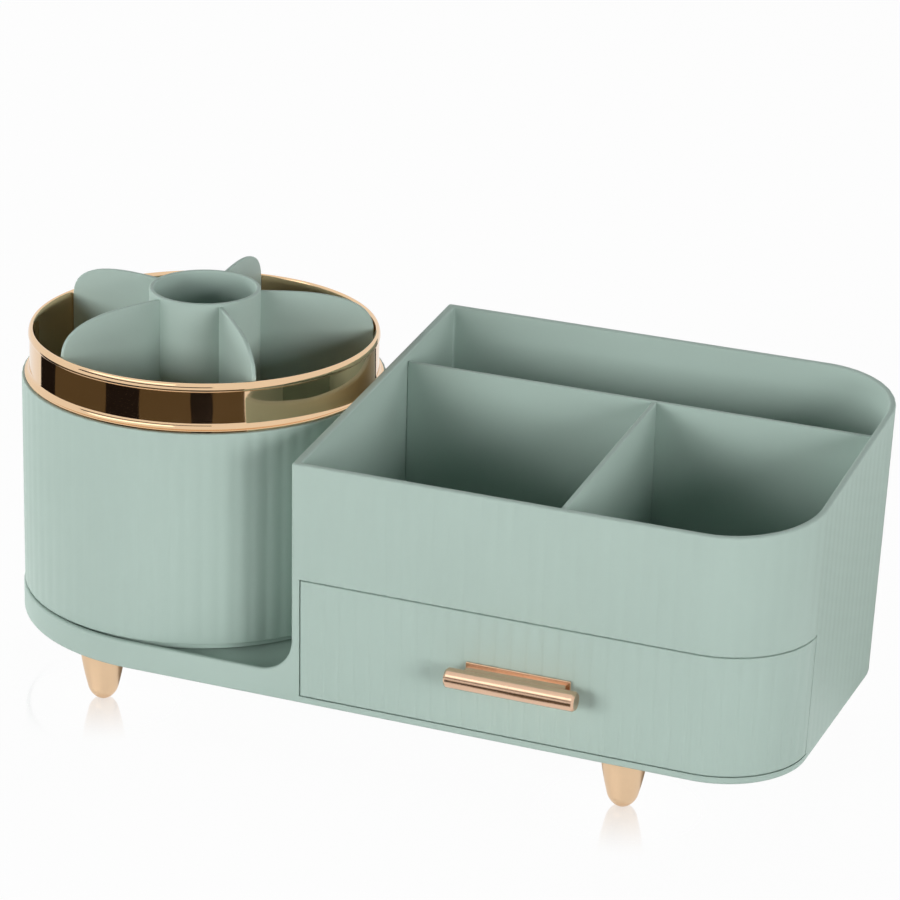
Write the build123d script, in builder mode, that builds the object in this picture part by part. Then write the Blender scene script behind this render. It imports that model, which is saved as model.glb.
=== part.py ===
from build123d import *
import os
from math import cos, radians, sin, tan

# Rotating makeup organizer: a low case on four tapered feet, with a sloping compartment
# tray over one drawer on the right, and a fluted cup that turns through a full circle on
# the left. Millimetres. +X runs along the length, -Y is the front, +Z is up. The origin
# is under the middle of the whole object, on the surface that the feet stand on.

os.makedirs("parts", exist_ok=True)

# ---------------------------------------------------------------- driving dimensions
# case
case_length = 310.0  # base, from the round left end to the right side
cup_margin = 2.5  # base in front of and behind the cup
corner_radius = 31.0  # upright corners of the right end
wall_lean = 1.43  # degrees that the front, back and right walls lean outwards
case_wall = 2.4  # front, back and right walls
end_wall = 3.0  # wall between the drawer and the cup
plate_thickness = 2.6  # base plate, seen as an edge under the drawer
lip_height = 10.3  # lip round the cup's well, from the underside
lip_wall = 2.4
lip_fillet = 13.0  # sweep from the lip up to the end wall
tray_floor = 2.4
tray_depth = 40.4  # tray floor to rim at the front wall
rim_rise = 14.4  # the rim climbs this much from front to back

# feet
foot_height = 20.0
foot_top_radius = 8.5
foot_tip_radius = 1.7  # flat at the tip
foot_shoulder_radius = 5.6
foot_shoulder_height = 5.3
foot_bulge_radius = 3.95  # of the domed tip, halfway round
foot_bulge_height = 1.75
foot_waist_radius = 7.05  # of the side, halfway up
foot_waist_height = 11.5
foot_left_inset = 52.0  # from the left end
foot_left_side_inset = 14.0  # left feet, from the front or the back
foot_right_inset = 58.2  # from the right side
foot_right_side_inset = 12.0  # right feet, from the front or the back

# tray dividers
divider_thickness = 2.0
cross_divider_back = 43.5  # back of the case to the middle of the cross divider
front_divider_right = 80.0  # right side to the middle of the front divider
divider_front_drop = 0.4  # below the rim, at the front wall
cross_divider_height = 47.2  # above the tray floor

# cup
cup_radius = 66.0  # over the flutes
flute_count = 72
flute_depth = 0.45
flute_tool_radius = 1.6
shell_wall = 3.0
shell_height = 79.6
cup_gap = 0.5  # running gap between the cup and the end wall
cup_inset = 0.1  # cup to the base's left end
cup_floor_rise = 3.8  # bottom of the shell to the top of the cup's floor
cup_floor = 2.4
skirt_drop = 2.5  # the turntable's skirt below the shell
skirt_inset = 2.7  # shell to the skirt's edge
skirt_wall = 2.4
hub_wall = 4.0

# gold ring
ring_height = 17.5  # above the shell
ring_flange_inset = 1.0  # shell to the flange
ring_band_inset = 2.8  # shell to the mirror band
ring_flange_edge = 0.7
ring_cove_height = 3.4
ring_cove_dip = 0.54  # the cove's middle from its inner corner, both ways
ring_roll_height = 2.8  # rounding of the rim's outer edge
ring_lip_flat = 0.4  # flat at the rim's inner edge
ring_inner_inset = 4.8
ring_sleeve_depth = 6.0

# cup insert
tube_radius = 20.1
tube_wall = 1.7
tube_rise = 14.4  # above the ring
tube_floor_rise = 5.6  # above the cup's floor, over the pivot screw
tube_floor = 2.0
radial_count = 5
radial_start = 24.0  # degrees from the right side to the first divider
radial_thickness = 1.6
radial_rim_drop = 1.1  # below the tube's rim
radial_drop = 17.0  # from there to the ring, along a curve
radial_power = 3.0  # of the curve

# turntable
deck_height = 7.6  # top of the bearing deck, from the underside
deck_thickness = 2.4
post_radius = 6.0
glide_radius = 44.0
glide_width = 6.0
washer_radius = 10.0
washer_thickness = 1.2
pivot_shank_radius = 2.0
pivot_head_radius = 4.0
pivot_head_height = 2.4
pivot_shank_length = 10.0

# drawer
drawer_front_height = 43.7
drawer_front_thickness = 3.0
drawer_wall = 2.0
drawer_wall_drop = 2.1  # drawer walls below the top of its front
drawer_end_gap = 1.4  # drawer box to the end wall
drawer_side_gap = 1.2  # drawer box to the right wall
drawer_back_gap = 1.5
drawer_front_gap = 0.4  # drawer box to the back of its front
drawer_travel = 100.0
runner_height = 2.9
runner_width = 6.0
runner_inset = 14.0
stop_drop = 1.7  # stop rib under the tray floor
stop_thickness = 1.5
stop_tab_width = 12.0
stop_tab_height = 2.0

# handle
handle_length = 47.0
handle_radius = 3.5
handle_offset = 93.0  # right side to the middle of the handle
handle_stand_off = 7.4  # drawer front to the middle of the bar
handle_web_length = 36.0
handle_web_height = 6.0
handle_plate_length = 38.0
handle_plate_height = 7.6
handle_plate_thickness = 1.0
handle_chamfer = 0.6

# small screws of the feet, the handle and the drawer front
screw_radius = 1.5
screw_head_radius = 3.0
screw_head_height = 2.0
foot_screw_length = 12.0
handle_screw_length = 11.0
handle_screw_spacing = 24.0
front_screw_length = 4.6
front_screw_inset = 16.0
front_boss_radius = 3.5
recess_width = 0.9
recess_depth = 1.0
recess_margin = 1.2  # from the end of the cross recess to the head's edge

# clearances
shell_gap = 0.3  # under the turning cup and under the drawer
seam = 0.4  # open seam round the drawer front
fit = 0.05  # radial, a shank in its hole
joint_gap = 0.1  # pieces slotted together
over = 20.0  # how far cutting tools reach past what they cut

# ---------------------------------------------------------------- places
case_depth = 2 * (cup_radius + cup_margin)
lean = tan(radians(wall_lean))
base_z = foot_height
plate_z = base_z + plate_thickness
lip_z = base_z + lip_height
mouth_z = plate_z + seam + drawer_front_height + seam  # top of the drawer's mouth
tray_z = mouth_z + tray_floor
rim_front_z = tray_z + tray_depth
rim_back_z = rim_front_z + rim_rise
drawer_mid_z = plate_z + seam + drawer_front_height / 2

handle_reach = handle_stand_off + handle_radius + lean * (drawer_mid_z - base_z)
left_x = -(case_length + lean * (rim_back_z - base_z)) / 2
right_x = left_x + case_length
front_y = -(case_depth + lean * (rim_back_z - base_z) - handle_reach) / 2
back_y = front_y + case_depth
mid_y = (front_y + back_y) / 2

cup_x = left_x + cup_inset + cup_radius
end_x = cup_x + cup_radius + cup_gap  # left face of the end wall
inner_x = end_x + end_wall

shell_z = lip_z + shell_gap
shell_top_z = shell_z + shell_height
ring_top_z = shell_top_z + ring_height
tube_top_z = ring_top_z + tube_rise
cup_floor_z = shell_z + cup_floor_rise
skirt_radius = cup_radius - shell_wall - joint_gap
ring_inner_radius = cup_radius - ring_inner_inset
deck_z = base_z + deck_height
post_top_z = cup_floor_z + shell_gap

foot_places = {
    "foot_front_left": (left_x + foot_left_inset, front_y + foot_left_side_inset),
    "foot_front_right": (right_x - foot_right_inset, front_y + foot_right_side_inset),
    "foot_back_left": (left_x + foot_left_inset, back_y - foot_left_side_inset),
    "foot_back_right": (right_x - foot_right_inset, back_y - foot_right_side_inset),
}

drawer_left = inner_x + seam
drawer_bottom = plate_z + seam
drawer_top = drawer_bottom + drawer_front_height
box_left = inner_x + drawer_end_gap
box_right = right_x - case_wall - drawer_side_gap
box_front = front_y + drawer_front_thickness + drawer_front_gap
box_back = back_y - case_wall - drawer_back_gap
box_floor = plate_z + runner_height + shell_gap
box_top = drawer_top - drawer_wall_drop
box_corner = corner_radius - drawer_front_thickness - drawer_front_gap
handle_x = right_x - handle_offset
face_y = front_y - lean * (drawer_mid_z - base_z)  # drawer front at the handle's height
bar_y = face_y - handle_stand_off
stop_y = box_back - drawer_wall - drawer_travel - shell_gap  # back of the stop rib


def base_plan(inset=0.0, mode=Mode.ADD):
    """The base's outline: a half round left end and two rounded corners on the right."""
    round_x = left_x + case_depth / 2
    corner = corner_radius - inset
    right, front, back = right_x - inset, front_y + inset, back_y - inset
    with BuildLine() as outline:
        Line((round_x, front), (right - corner, front))
        CenterArc((right - corner, front + corner), corner, -90, 90)
        Line((right, front + corner), (right, back - corner))
        CenterArc((right - corner, back - corner), corner, 0, 90)
        Line((right - corner, back), (round_x, back))
        CenterArc((round_x, mid_y), case_depth / 2 - inset, 90, 180)
    make_face(outline.edges(), mode=mode)


def housing_plan(inset, left):
    """The right part's outline, from a straight left side to the two rounded corners."""
    corner = corner_radius - inset
    right, front, back = right_x - inset, front_y + inset, back_y - inset
    with BuildLine() as outline:
        Line((left, front), (right - corner, front))
        CenterArc((right - corner, front + corner), corner, -90, 90)
        Line((right, front + corner), (right, back - corner))
        CenterArc((right - corner, back - corner), corner, 0, 90)
        Line((right - corner, back), (left, back))
        Line((left, back), (left, front))
    make_face(outline.edges())


def leaning_block(inset, left, low, high):
    """A block with the housing's plan whose walls lean outwards, upright on its left."""
    with BuildPart() as block:
        with BuildSketch(Plane.XY.offset(base_z)):
            housing_plan(inset, left)
        extrude(amount=high - base_z, taper=-wall_lean)
        with Locations(((left + right_x + over) / 2, mid_y, (low + high) / 2)):
            Box(right_x + over - left, case_depth + 2 * over, high - low, mode=Mode.INTERSECT)
    return block.part


def box_between(low, high, mode=Mode.ADD):
    """An upright block between two opposite corners."""
    size = [b - a for a, b in zip(low, high)]
    with Locations(tuple((a + b) / 2 for a, b in zip(low, high))):
        Box(*size, mode=mode)


def round_bar(x, y, low, high, radius, mode=Mode.ADD):
    """An upright cylinder between two heights."""
    with Locations((x, y, low)):
        Cylinder(radius, high - low, align=(Align.CENTER, Align.CENTER, Align.MIN), mode=mode)


def pan_screw(place, radius, length, head_radius, head_height):
    """A pan-head screw: its head's underside is on the given plane, its shank points down."""
    with Locations(place):
        Cylinder(radius, length, align=(Align.CENTER, Align.CENTER, Align.MAX))
        Cylinder(head_radius, head_height, align=(Align.CENTER, Align.CENTER, Align.MIN))
        with Locations((0, 0, head_height)):
            for turn in (0, 90):
                Box(
                    2 * (head_radius - recess_margin),
                    recess_width,
                    2 * recess_depth,
                    rotation=(0, 0, turn),
                    mode=Mode.SUBTRACT,
                )


# ---------------------------------------------------------------- case
tray_hollow = leaning_block(case_wall, inner_x, tray_z, rim_back_z + over)
drawer_hollow = leaning_block(case_wall, inner_x, plate_z, mouth_z)
housing = leaning_block(0, end_x, base_z, rim_back_z + over)
rim_plane = Plane(
    origin=(0, front_y, rim_front_z), x_dir=(1, 0, 0), z_dir=(0, -rim_rise, case_depth)
)

with BuildPart() as case_body:
    # base plate
    with BuildSketch(Plane.XY.offset(base_z)):
        base_plan()
    extrude(amount=plate_thickness)
    # lip round the cup's well
    with BuildSketch(Plane.XY.offset(base_z)):
        base_plan()
        base_plan(lip_wall, mode=Mode.SUBTRACT)
        with Locations(((left_x + end_x) / 2, mid_y)):
            Rectangle(end_x - left_x, case_depth, mode=Mode.INTERSECT)
    extrude(amount=lip_height)
    # the lip sweeps up into the end wall, at the front and at the back
    for plane in (Plane.XZ.offset(-front_y - lip_wall), Plane.XZ.offset(-back_y)):
        with BuildSketch(plane):
            with BuildLine():
                Line((end_x - lip_fillet, lip_z), (end_x, lip_z))
                Line((end_x, lip_z), (end_x, lip_z + lip_fillet))
                CenterArc((end_x - lip_fillet, lip_z + lip_fillet), lip_fillet, 270, 90)
            make_face()
        extrude(amount=lip_wall)
    # housing, its tray above and the drawer's bay below, with the mouth round the corner
    add(housing)
    add(tray_hollow, mode=Mode.SUBTRACT)
    add(drawer_hollow, mode=Mode.SUBTRACT)
    box_between(
        (inner_x, front_y - over, plate_z),
        (right_x + over, front_y + corner_radius + seam, mouth_z),
        mode=Mode.SUBTRACT,
    )
    split(bisect_by=rim_plane, keep=Keep.BOTTOM)
    # runners under the drawer, and the rib under the tray floor that stops it
    for x in (inner_x + runner_inset, right_x - corner_radius - runner_width):
        box_between(
            (x - runner_width / 2, box_front + drawer_wall, plate_z),
            (x + runner_width / 2, box_back - drawer_wall, plate_z + runner_height),
        )
    box_between(
        (box_left + runner_inset, stop_y - stop_thickness, mouth_z - stop_drop),
        (right_x - corner_radius - runner_inset, stop_y, mouth_z),
    )
    for x, y in foot_places.values():
        round_bar(x, y, base_z, plate_z, screw_radius + fit, mode=Mode.SUBTRACT)
case_body.part.label = "case_body"
export_step(case_body.part, "parts/case_body.step")

with BuildPart() as bearing_deck:
    deck_inset = lip_wall + joint_gap
    deck_end_x = end_x - joint_gap
    with BuildSketch(Plane.XY.offset(plate_z)):
        base_plan(deck_inset)
        with Locations(((left_x + deck_end_x) / 2, mid_y)):
            Rectangle(deck_end_x - left_x, case_depth, mode=Mode.INTERSECT)
    extrude(amount=deck_z - plate_z)
    with BuildSketch(Plane.XY.offset(plate_z)):
        base_plan(deck_inset + skirt_wall)
        with Locations(((left_x + deck_end_x - skirt_wall) / 2, mid_y)):
            Rectangle(deck_end_x - skirt_wall - left_x, case_depth, mode=Mode.INTERSECT)
    extrude(amount=deck_z - deck_thickness - plate_z, mode=Mode.SUBTRACT)
    round_bar(cup_x, mid_y, plate_z, post_top_z, post_radius)
    round_bar(
        cup_x,
        mid_y,
        post_top_z + washer_thickness - pivot_shank_length - shell_gap,
        post_top_z,
        pivot_shank_radius + fit,
        mode=Mode.SUBTRACT,
    )
bearing_deck.part.label = "bearing_deck"
export_step(bearing_deck.part, "parts/bearing_deck.step")

with BuildPart() as glide_ring:
    glide_top_z = cup_floor_z - cup_floor - shell_gap
    round_bar(cup_x, mid_y, deck_z, glide_top_z, glide_radius)
    round_bar(cup_x, mid_y, deck_z, glide_top_z, glide_radius - glide_width, mode=Mode.SUBTRACT)
glide_ring.part.label = "glide_ring"
export_step(glide_ring.part, "parts/glide_ring.step")

with BuildPart() as pivot_washer:
    washer_top_z = post_top_z + washer_thickness
    round_bar(cup_x, mid_y, post_top_z, washer_top_z, washer_radius)
    round_bar(
        cup_x, mid_y, post_top_z, washer_top_z, pivot_shank_radius + fit, mode=Mode.SUBTRACT
    )
pivot_washer.part.label = "pivot_washer"
export_step(pivot_washer.part, "parts/pivot_washer.step")

with BuildPart() as pivot_screw:
    pan_screw(
        Location((cup_x, mid_y, washer_top_z)),
        pivot_shank_radius,
        pivot_shank_length,
        pivot_head_radius,
        pivot_head_height,
    )
pivot_screw.part.label = "pivot_screw"
export_step(pivot_screw.part, "parts/pivot_screw.step")

# ---------------------------------------------------------------- feet
for name, (x, y) in foot_places.items():
    with BuildPart() as foot:
        with BuildSketch(Plane.XZ.offset(-y)):
            with BuildLine():
                shoulder = (x + foot_shoulder_radius, foot_shoulder_height)
                Line((x, 0), (x + foot_tip_radius, 0))
                ThreePointArc(
                    (x + foot_tip_radius, 0), (x + foot_bulge_radius, foot_bulge_height), shoulder
                )
                ThreePointArc(
                    shoulder,
                    (x + foot_waist_radius, foot_waist_height),
                    (x + foot_top_radius, foot_height),
                )
                Line((x + foot_top_radius, foot_height), (x, foot_height))
                Line((x, foot_height), (x, 0))
            make_face()
        revolve(axis=Axis((x, y, 0), (0, 0, 1)))
        bore_z = plate_z - foot_screw_length - shell_gap
        round_bar(x, y, bore_z, foot_height, screw_radius + fit, mode=Mode.SUBTRACT)
    foot.part.label = name
    export_step(foot.part, f"parts/{name}.step")

with BuildPart() as foot_screws:
    for x, y in foot_places.values():
        pan_screw(
            Location((x, y, plate_z)),
            screw_radius,
            foot_screw_length,
            screw_head_radius,
            screw_head_height,
        )
foot_screws.part.label = "foot_screws"
export_step(foot_screws.part, "parts/foot_screws.step")

# ---------------------------------------------------------------- tray dividers
cross_y = back_y - cross_divider_back
divider_x = right_x - front_divider_right
cross_top_z = tray_z + cross_divider_height


def wall_shift(z):
    """How far a leaning wall stands out at this height."""
    return lean * (z - base_z)


with BuildPart() as cross_divider:
    wall_x = right_x - case_wall - joint_gap
    with BuildSketch(Plane.XZ.offset(-cross_y - divider_thickness / 2)):
        with BuildLine():
            Polyline(
                (inner_x + joint_gap, tray_z),
                (wall_x + wall_shift(tray_z), tray_z),
                (wall_x + wall_shift(cross_top_z), cross_top_z),
                (inner_x + joint_gap, cross_top_z),
                close=True,
            )
        make_face()
    extrude(amount=divider_thickness)
cross_divider.part.label = "cross_divider"
export_step(cross_divider.part, "parts/cross_divider.step")

with BuildPart() as front_divider:
    wall_y = front_y + case_wall + joint_gap
    meet_y = cross_y - divider_thickness / 2 - joint_gap
    front_top_z = rim_front_z - divider_front_drop
    with BuildSketch(Plane.YZ.offset(divider_x - divider_thickness / 2)):
        with BuildLine():
            Polyline(
                (wall_y - wall_shift(tray_z), tray_z),
                (meet_y, tray_z),
                (meet_y, cross_top_z),
                (wall_y - wall_shift(front_top_z), front_top_z),
                close=True,
            )
        make_face()
    extrude(amount=divider_thickness)
front_divider.part.label = "front_divider"
export_step(front_divider.part, "parts/front_divider.step")

# ---------------------------------------------------------------- turning cup
with BuildPart() as cup_shell:
    with BuildSketch(Plane.XY.offset(shell_z)):
        with Locations((cup_x, mid_y)):
            Circle(cup_radius)
            Circle(cup_radius - shell_wall, mode=Mode.SUBTRACT)
            with PolarLocations(cup_radius - flute_depth + flute_tool_radius, flute_count):
                Circle(flute_tool_radius, mode=Mode.SUBTRACT)
    extrude(amount=shell_height)
cup_shell.part.label = "cup_shell"
export_step(cup_shell.part, "parts/cup_shell.step")

with BuildPart() as cup_base:
    skirt_z = shell_z - skirt_drop
    under_floor_z = cup_floor_z - cup_floor
    round_bar(cup_x, mid_y, skirt_z, cup_floor_z, skirt_radius)
    round_bar(cup_x, mid_y, skirt_z, shell_z - joint_gap, cup_radius - skirt_inset)
    round_bar(
        cup_x, mid_y, skirt_z, under_floor_z, skirt_radius - skirt_wall, mode=Mode.SUBTRACT
    )
    round_bar(cup_x, mid_y, skirt_z, under_floor_z, post_radius + hub_wall)
    round_bar(cup_x, mid_y, skirt_z, cup_floor_z, post_radius + fit, mode=Mode.SUBTRACT)
cup_base.part.label = "cup_base"
export_step(cup_base.part, "parts/cup_base.step")

with BuildPart() as cup_ring:
    flange_r = cup_radius - ring_flange_inset
    band_r = cup_radius - ring_band_inset
    sleeve_r = cup_radius - shell_wall - joint_gap
    roll_z = ring_top_z - ring_roll_height
    edge_z = shell_top_z + ring_flange_edge
    cove_z = shell_top_z + ring_cove_height
    sleeve_z = shell_top_z - ring_sleeve_depth
    with BuildSketch(Plane.XZ.offset(-mid_y)):
        with BuildLine():
            Polyline(
                (cup_x + ring_inner_radius + ring_lip_flat, ring_top_z),
                (cup_x + ring_inner_radius, ring_top_z),
                (cup_x + ring_inner_radius, sleeve_z),
                (cup_x + sleeve_r, sleeve_z),
                (cup_x + sleeve_r, shell_top_z),
                (cup_x + flange_r, shell_top_z),
                (cup_x + flange_r, edge_z),
            )
            ThreePointArc(
                (cup_x + flange_r, edge_z),
                (cup_x + band_r + ring_cove_dip, edge_z + ring_cove_dip),
                (cup_x + band_r, cove_z),
            )
            Line((cup_x + band_r, cove_z), (cup_x + band_r, roll_z))
            TangentArc(
                (cup_x + band_r, roll_z),
                (cup_x + ring_inner_radius + ring_lip_flat, ring_top_z),
                tangent=(0, 1),
            )
        make_face()
    revolve(axis=Axis((cup_x, mid_y, 0), (0, 0, 1)))
cup_ring.part.label = "cup_ring"
export_step(cup_ring.part, "parts/cup_ring.step")

with BuildPart() as brush_tube:
    tube_bore = tube_radius - tube_wall
    tube_floor_z = cup_floor_z + tube_floor_rise
    round_bar(cup_x, mid_y, cup_floor_z, tube_top_z, tube_radius)
    round_bar(cup_x, mid_y, cup_floor_z, tube_floor_z, tube_bore, mode=Mode.SUBTRACT)
    round_bar(
        cup_x, mid_y, tube_floor_z + tube_floor, tube_top_z, tube_bore, mode=Mode.SUBTRACT
    )
brush_tube.part.label = "brush_tube"
export_step(brush_tube.part, "parts/brush_tube.step")

with BuildPart() as radial_dividers:
    radial_in = tube_radius + fit
    radial_out = ring_inner_radius - joint_gap
    radial_low_z = tube_top_z - radial_rim_drop - radial_drop
    curve_steps = 12
    # the top edge leaves the tube level and falls ever faster towards the ring
    top_edge = []
    for step in range(curve_steps + 1):
        turn = radians(90 * step / curve_steps)
        run = (radial_out - radial_in) * sin(turn) ** (2 / radial_power)
        rise = radial_drop * abs(cos(turn)) ** (2 / radial_power)
        top_edge.append((radial_in + run, radial_low_z + rise))
    for index in range(radial_count):
        angle = radial_start + 360 / radial_count * index
        across = (cos(radians(angle)), sin(radians(angle)), 0)
        normal = (sin(radians(angle)), -cos(radians(angle)), 0)
        panel_plane = Plane(origin=(cup_x, mid_y, 0), x_dir=across, z_dir=normal)
        with BuildSketch(panel_plane):
            with BuildLine():
                Spline(*top_edge, tangents=((1, 0), (0, -1)))
                Polyline(
                    top_edge[-1],
                    (radial_out, cup_floor_z),
                    (radial_in, cup_floor_z),
                    top_edge[0],
                )
            make_face()
        extrude(amount=radial_thickness / 2, both=True)
radial_dividers.part.label = "radial_dividers"
export_step(radial_dividers.part, "parts/radial_dividers.step")

# ---------------------------------------------------------------- drawer
front_block = leaning_block(0, drawer_left, drawer_bottom, drawer_top)
behind_front = leaning_block(drawer_front_thickness, drawer_left - over, drawer_bottom, drawer_top)
handle_screw_places = [
    (handle_x - handle_screw_spacing / 2, box_front + drawer_wall, drawer_mid_z),
    (handle_x + handle_screw_spacing / 2, box_front + drawer_wall, drawer_mid_z),
]
front_screw_places = [
    (box_left + front_screw_inset, box_front + drawer_wall, drawer_mid_z),
    (right_x - corner_radius - front_screw_inset, box_front + drawer_wall, drawer_mid_z),
]
screw_turn = (90, 0, 0)  # turns an upright screw so that its shank points forwards


def forward_hole(place, radius, depth):
    """A round hole that runs from this point towards the front."""
    with Locations(place):
        Cylinder(
            radius,
            depth,
            rotation=(90, 0, 0),
            align=(Align.CENTER, Align.CENTER, Align.MIN),
            mode=Mode.SUBTRACT,
        )


with BuildPart() as drawer_front:
    add(front_block)
    add(behind_front, mode=Mode.SUBTRACT)
    box_between(
        (drawer_left - over, front_y - over, drawer_bottom),
        (right_x + over, front_y + corner_radius, drawer_top),
        mode=Mode.INTERSECT,
    )
    for x, y, z in front_screw_places:
        boss_back = box_front - joint_gap
        with Locations((x, boss_back, z)):
            Cylinder(
                front_boss_radius,
                boss_back - front_y,
                rotation=(90, 0, 0),
                align=(Align.CENTER, Align.CENTER, Align.MIN),
            )
        forward_hole((x, y, z), screw_radius + fit, front_screw_length + joint_gap)
    for place in handle_screw_places:
        forward_hole(place, screw_radius + fit, handle_screw_length + over)
drawer_front.part.label = "drawer_front"
export_step(drawer_front.part, "parts/drawer_front.step")

with BuildPart() as drawer_box:

    def box_plan(inset):
        """The drawer box's outline, rounded where it follows the case's right corners."""
        with Locations(((box_left + box_right) / 2, (box_front + box_back) / 2)):
            Rectangle(box_right - box_left - 2 * inset, box_back - box_front - 2 * inset)
        fillet(vertices().group_by(Axis.X)[-1], box_corner - inset)

    with BuildSketch(Plane.XY.offset(box_floor)):
        box_plan(0)
    extrude(amount=box_top - box_floor)
    with BuildSketch(Plane.XY.offset(box_floor + drawer_wall)):
        box_plan(drawer_wall)
    extrude(amount=box_top - box_floor - drawer_wall, mode=Mode.SUBTRACT)
    # tabs on the back wall that meet the stop rib
    for x in (box_left + 2 * runner_inset, right_x - corner_radius - 2 * runner_inset):
        box_between(
            (x - stop_tab_width / 2, box_back - drawer_wall, box_top),
            (x + stop_tab_width / 2, box_back, box_top + stop_tab_height),
        )
    for place in handle_screw_places + front_screw_places:
        forward_hole(place, screw_radius + fit, drawer_wall)
drawer_box.part.label = "drawer_box"
export_step(drawer_box.part, "parts/drawer_box.step")

with BuildPart() as drawer_handle:
    plate_back = face_y - joint_gap
    plate_front = plate_back - handle_plate_thickness
    with Locations((handle_x, bar_y, drawer_mid_z)):
        Cylinder(handle_radius, handle_length, rotation=(0, 90, 0))
    chamfer(edges().filter_by(GeomType.CIRCLE), handle_chamfer)
    half_web, half_plate = handle_web_length / 2, handle_plate_length / 2
    box_between(
        (handle_x - half_web, bar_y, drawer_mid_z - handle_web_height / 2),
        (handle_x + half_web, plate_back, drawer_mid_z + handle_web_height / 2),
    )
    box_between(
        (handle_x - half_plate, plate_front, drawer_mid_z - handle_plate_height / 2),
        (handle_x + half_plate, plate_back, drawer_mid_z + handle_plate_height / 2),
    )
    for place in handle_screw_places:
        forward_hole(place, screw_radius + fit, handle_screw_length + joint_gap)
drawer_handle.part.label = "drawer_handle"
export_step(drawer_handle.part, "parts/drawer_handle.step")

with BuildPart() as handle_screws:
    for place in handle_screw_places:
        pan_screw(
            Location(place, (-90, 0, 0)),
            screw_radius,
            handle_screw_length,
            screw_head_radius,
            screw_head_height,
        )
handle_screws.part.label = "handle_screws"
export_step(handle_screws.part, "parts/handle_screws.step")

with BuildPart() as front_screws:
    for place in front_screw_places:
        pan_screw(
            Location(place, (-90, 0, 0)),
            screw_radius,
            front_screw_length,
            screw_head_radius,
            screw_head_height,
        )
front_screws.part.label = "front_screws"
export_step(front_screws.part, "parts/front_screws.step")
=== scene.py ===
"""Looks of a rotating makeup organizer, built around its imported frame, in metres.

The case, the turning cup and the drawer are moulded in sage plastic with shallow upright reeds. The
cup's ring, the handle and the feet are metal. Each piece takes its place from the frame.
"""

from functools import lru_cache
from math import atan2, ceil, cos, degrees, pi, radians, sin, tan

import bmesh
import bpy
from mathutils import Matrix, Vector


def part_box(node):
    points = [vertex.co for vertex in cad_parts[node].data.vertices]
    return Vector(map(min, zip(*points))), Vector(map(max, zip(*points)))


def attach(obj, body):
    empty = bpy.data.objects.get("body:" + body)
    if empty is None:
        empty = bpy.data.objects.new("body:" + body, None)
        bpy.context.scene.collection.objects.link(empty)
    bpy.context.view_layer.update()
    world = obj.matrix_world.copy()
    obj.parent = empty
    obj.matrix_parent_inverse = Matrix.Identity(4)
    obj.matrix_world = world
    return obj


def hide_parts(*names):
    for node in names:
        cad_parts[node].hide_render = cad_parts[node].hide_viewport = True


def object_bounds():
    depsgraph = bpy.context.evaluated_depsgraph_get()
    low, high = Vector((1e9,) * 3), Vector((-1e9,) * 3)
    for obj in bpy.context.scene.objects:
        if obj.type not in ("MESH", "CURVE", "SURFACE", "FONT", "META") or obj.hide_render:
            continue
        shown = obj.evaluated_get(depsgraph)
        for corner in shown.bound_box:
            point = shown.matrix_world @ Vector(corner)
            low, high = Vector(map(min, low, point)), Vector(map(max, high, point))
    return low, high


bl_info = {
    "name": "Rotating makeup organizer",
    "version": (1, 0, 0),
    "blender": (4, 5, 0),
    "location": "View3D > Sidebar > Organizer",
    "description": "Builds the case, the turning cup and the drawer of a makeup organizer",
    "category": "Object",
}

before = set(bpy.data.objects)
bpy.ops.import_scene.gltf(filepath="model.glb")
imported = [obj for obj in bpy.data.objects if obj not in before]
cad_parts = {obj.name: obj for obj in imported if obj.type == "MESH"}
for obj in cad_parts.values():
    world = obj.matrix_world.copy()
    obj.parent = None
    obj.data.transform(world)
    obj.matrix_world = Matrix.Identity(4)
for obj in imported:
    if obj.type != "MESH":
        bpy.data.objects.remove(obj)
cad_low, cad_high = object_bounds()

MM = 0.001
SEAM = 0.4 * MM  # open seam round the drawer's front
CASE, CUP, DRAWER = "case", "cup", "drawer"


# ---------------------------------------------------------------- sizes and colours
def length(name, text, default):
    """A property that holds a length in metres."""
    return bpy.props.FloatProperty(
        name=name, description=text, default=default, unit="LENGTH", precision=5
    )


def colour(name, text, default):
    """A property that holds a colour, in linear values."""
    return bpy.props.FloatVectorProperty(
        name=name, description=text, default=default, subtype="COLOR", size=3, min=0, max=1
    )


class CaseSizes(bpy.types.PropertyGroup):
    """Sizes of the case and its tray."""

    length: length("Length", "Base, from the round end to the right side", 310 * MM)
    depth: length("Depth", "Base, from front to back", 137 * MM)
    corner: length("Corner", "Radius of the right end's upright corners", 31 * MM)
    lean: bpy.props.FloatProperty(
        name="Lean", description="Outward lean of the walls", default=radians(1.43), unit="ROTATION"
    )
    wall: length("Wall", "Thickness of the leaning walls", 2.4 * MM)
    end_wall: length("End wall", "Thickness of the wall beside the cup", 3 * MM)
    lip_height: length("Lip", "Height of the lip round the cup", 10.3 * MM)
    lip_fillet: length("Lip sweep", "Radius from the lip up to the end wall", 13.0 * MM)
    floor: length("Tray floor", "Thickness of the tray's floor", 2.4 * MM)
    tray_depth: length("Tray depth", "Tray floor to rim at the front", 40.4 * MM)
    rim_rise: length("Rim rise", "Climb of the rim from front to back", 14.4 * MM)
    edge: length("Edge", "Rounding of rims and free edges", 0.75 * MM)
    base_edge: length("Base edge", "Rounding under the base", 0.9 * MM)
    cove: length("Cove", "Fillet between the tray's walls and floor", 3 * MM)
    seam_edge: length("Seam edge", "Rounding along the drawer's seam", 0.3 * MM)


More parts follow.
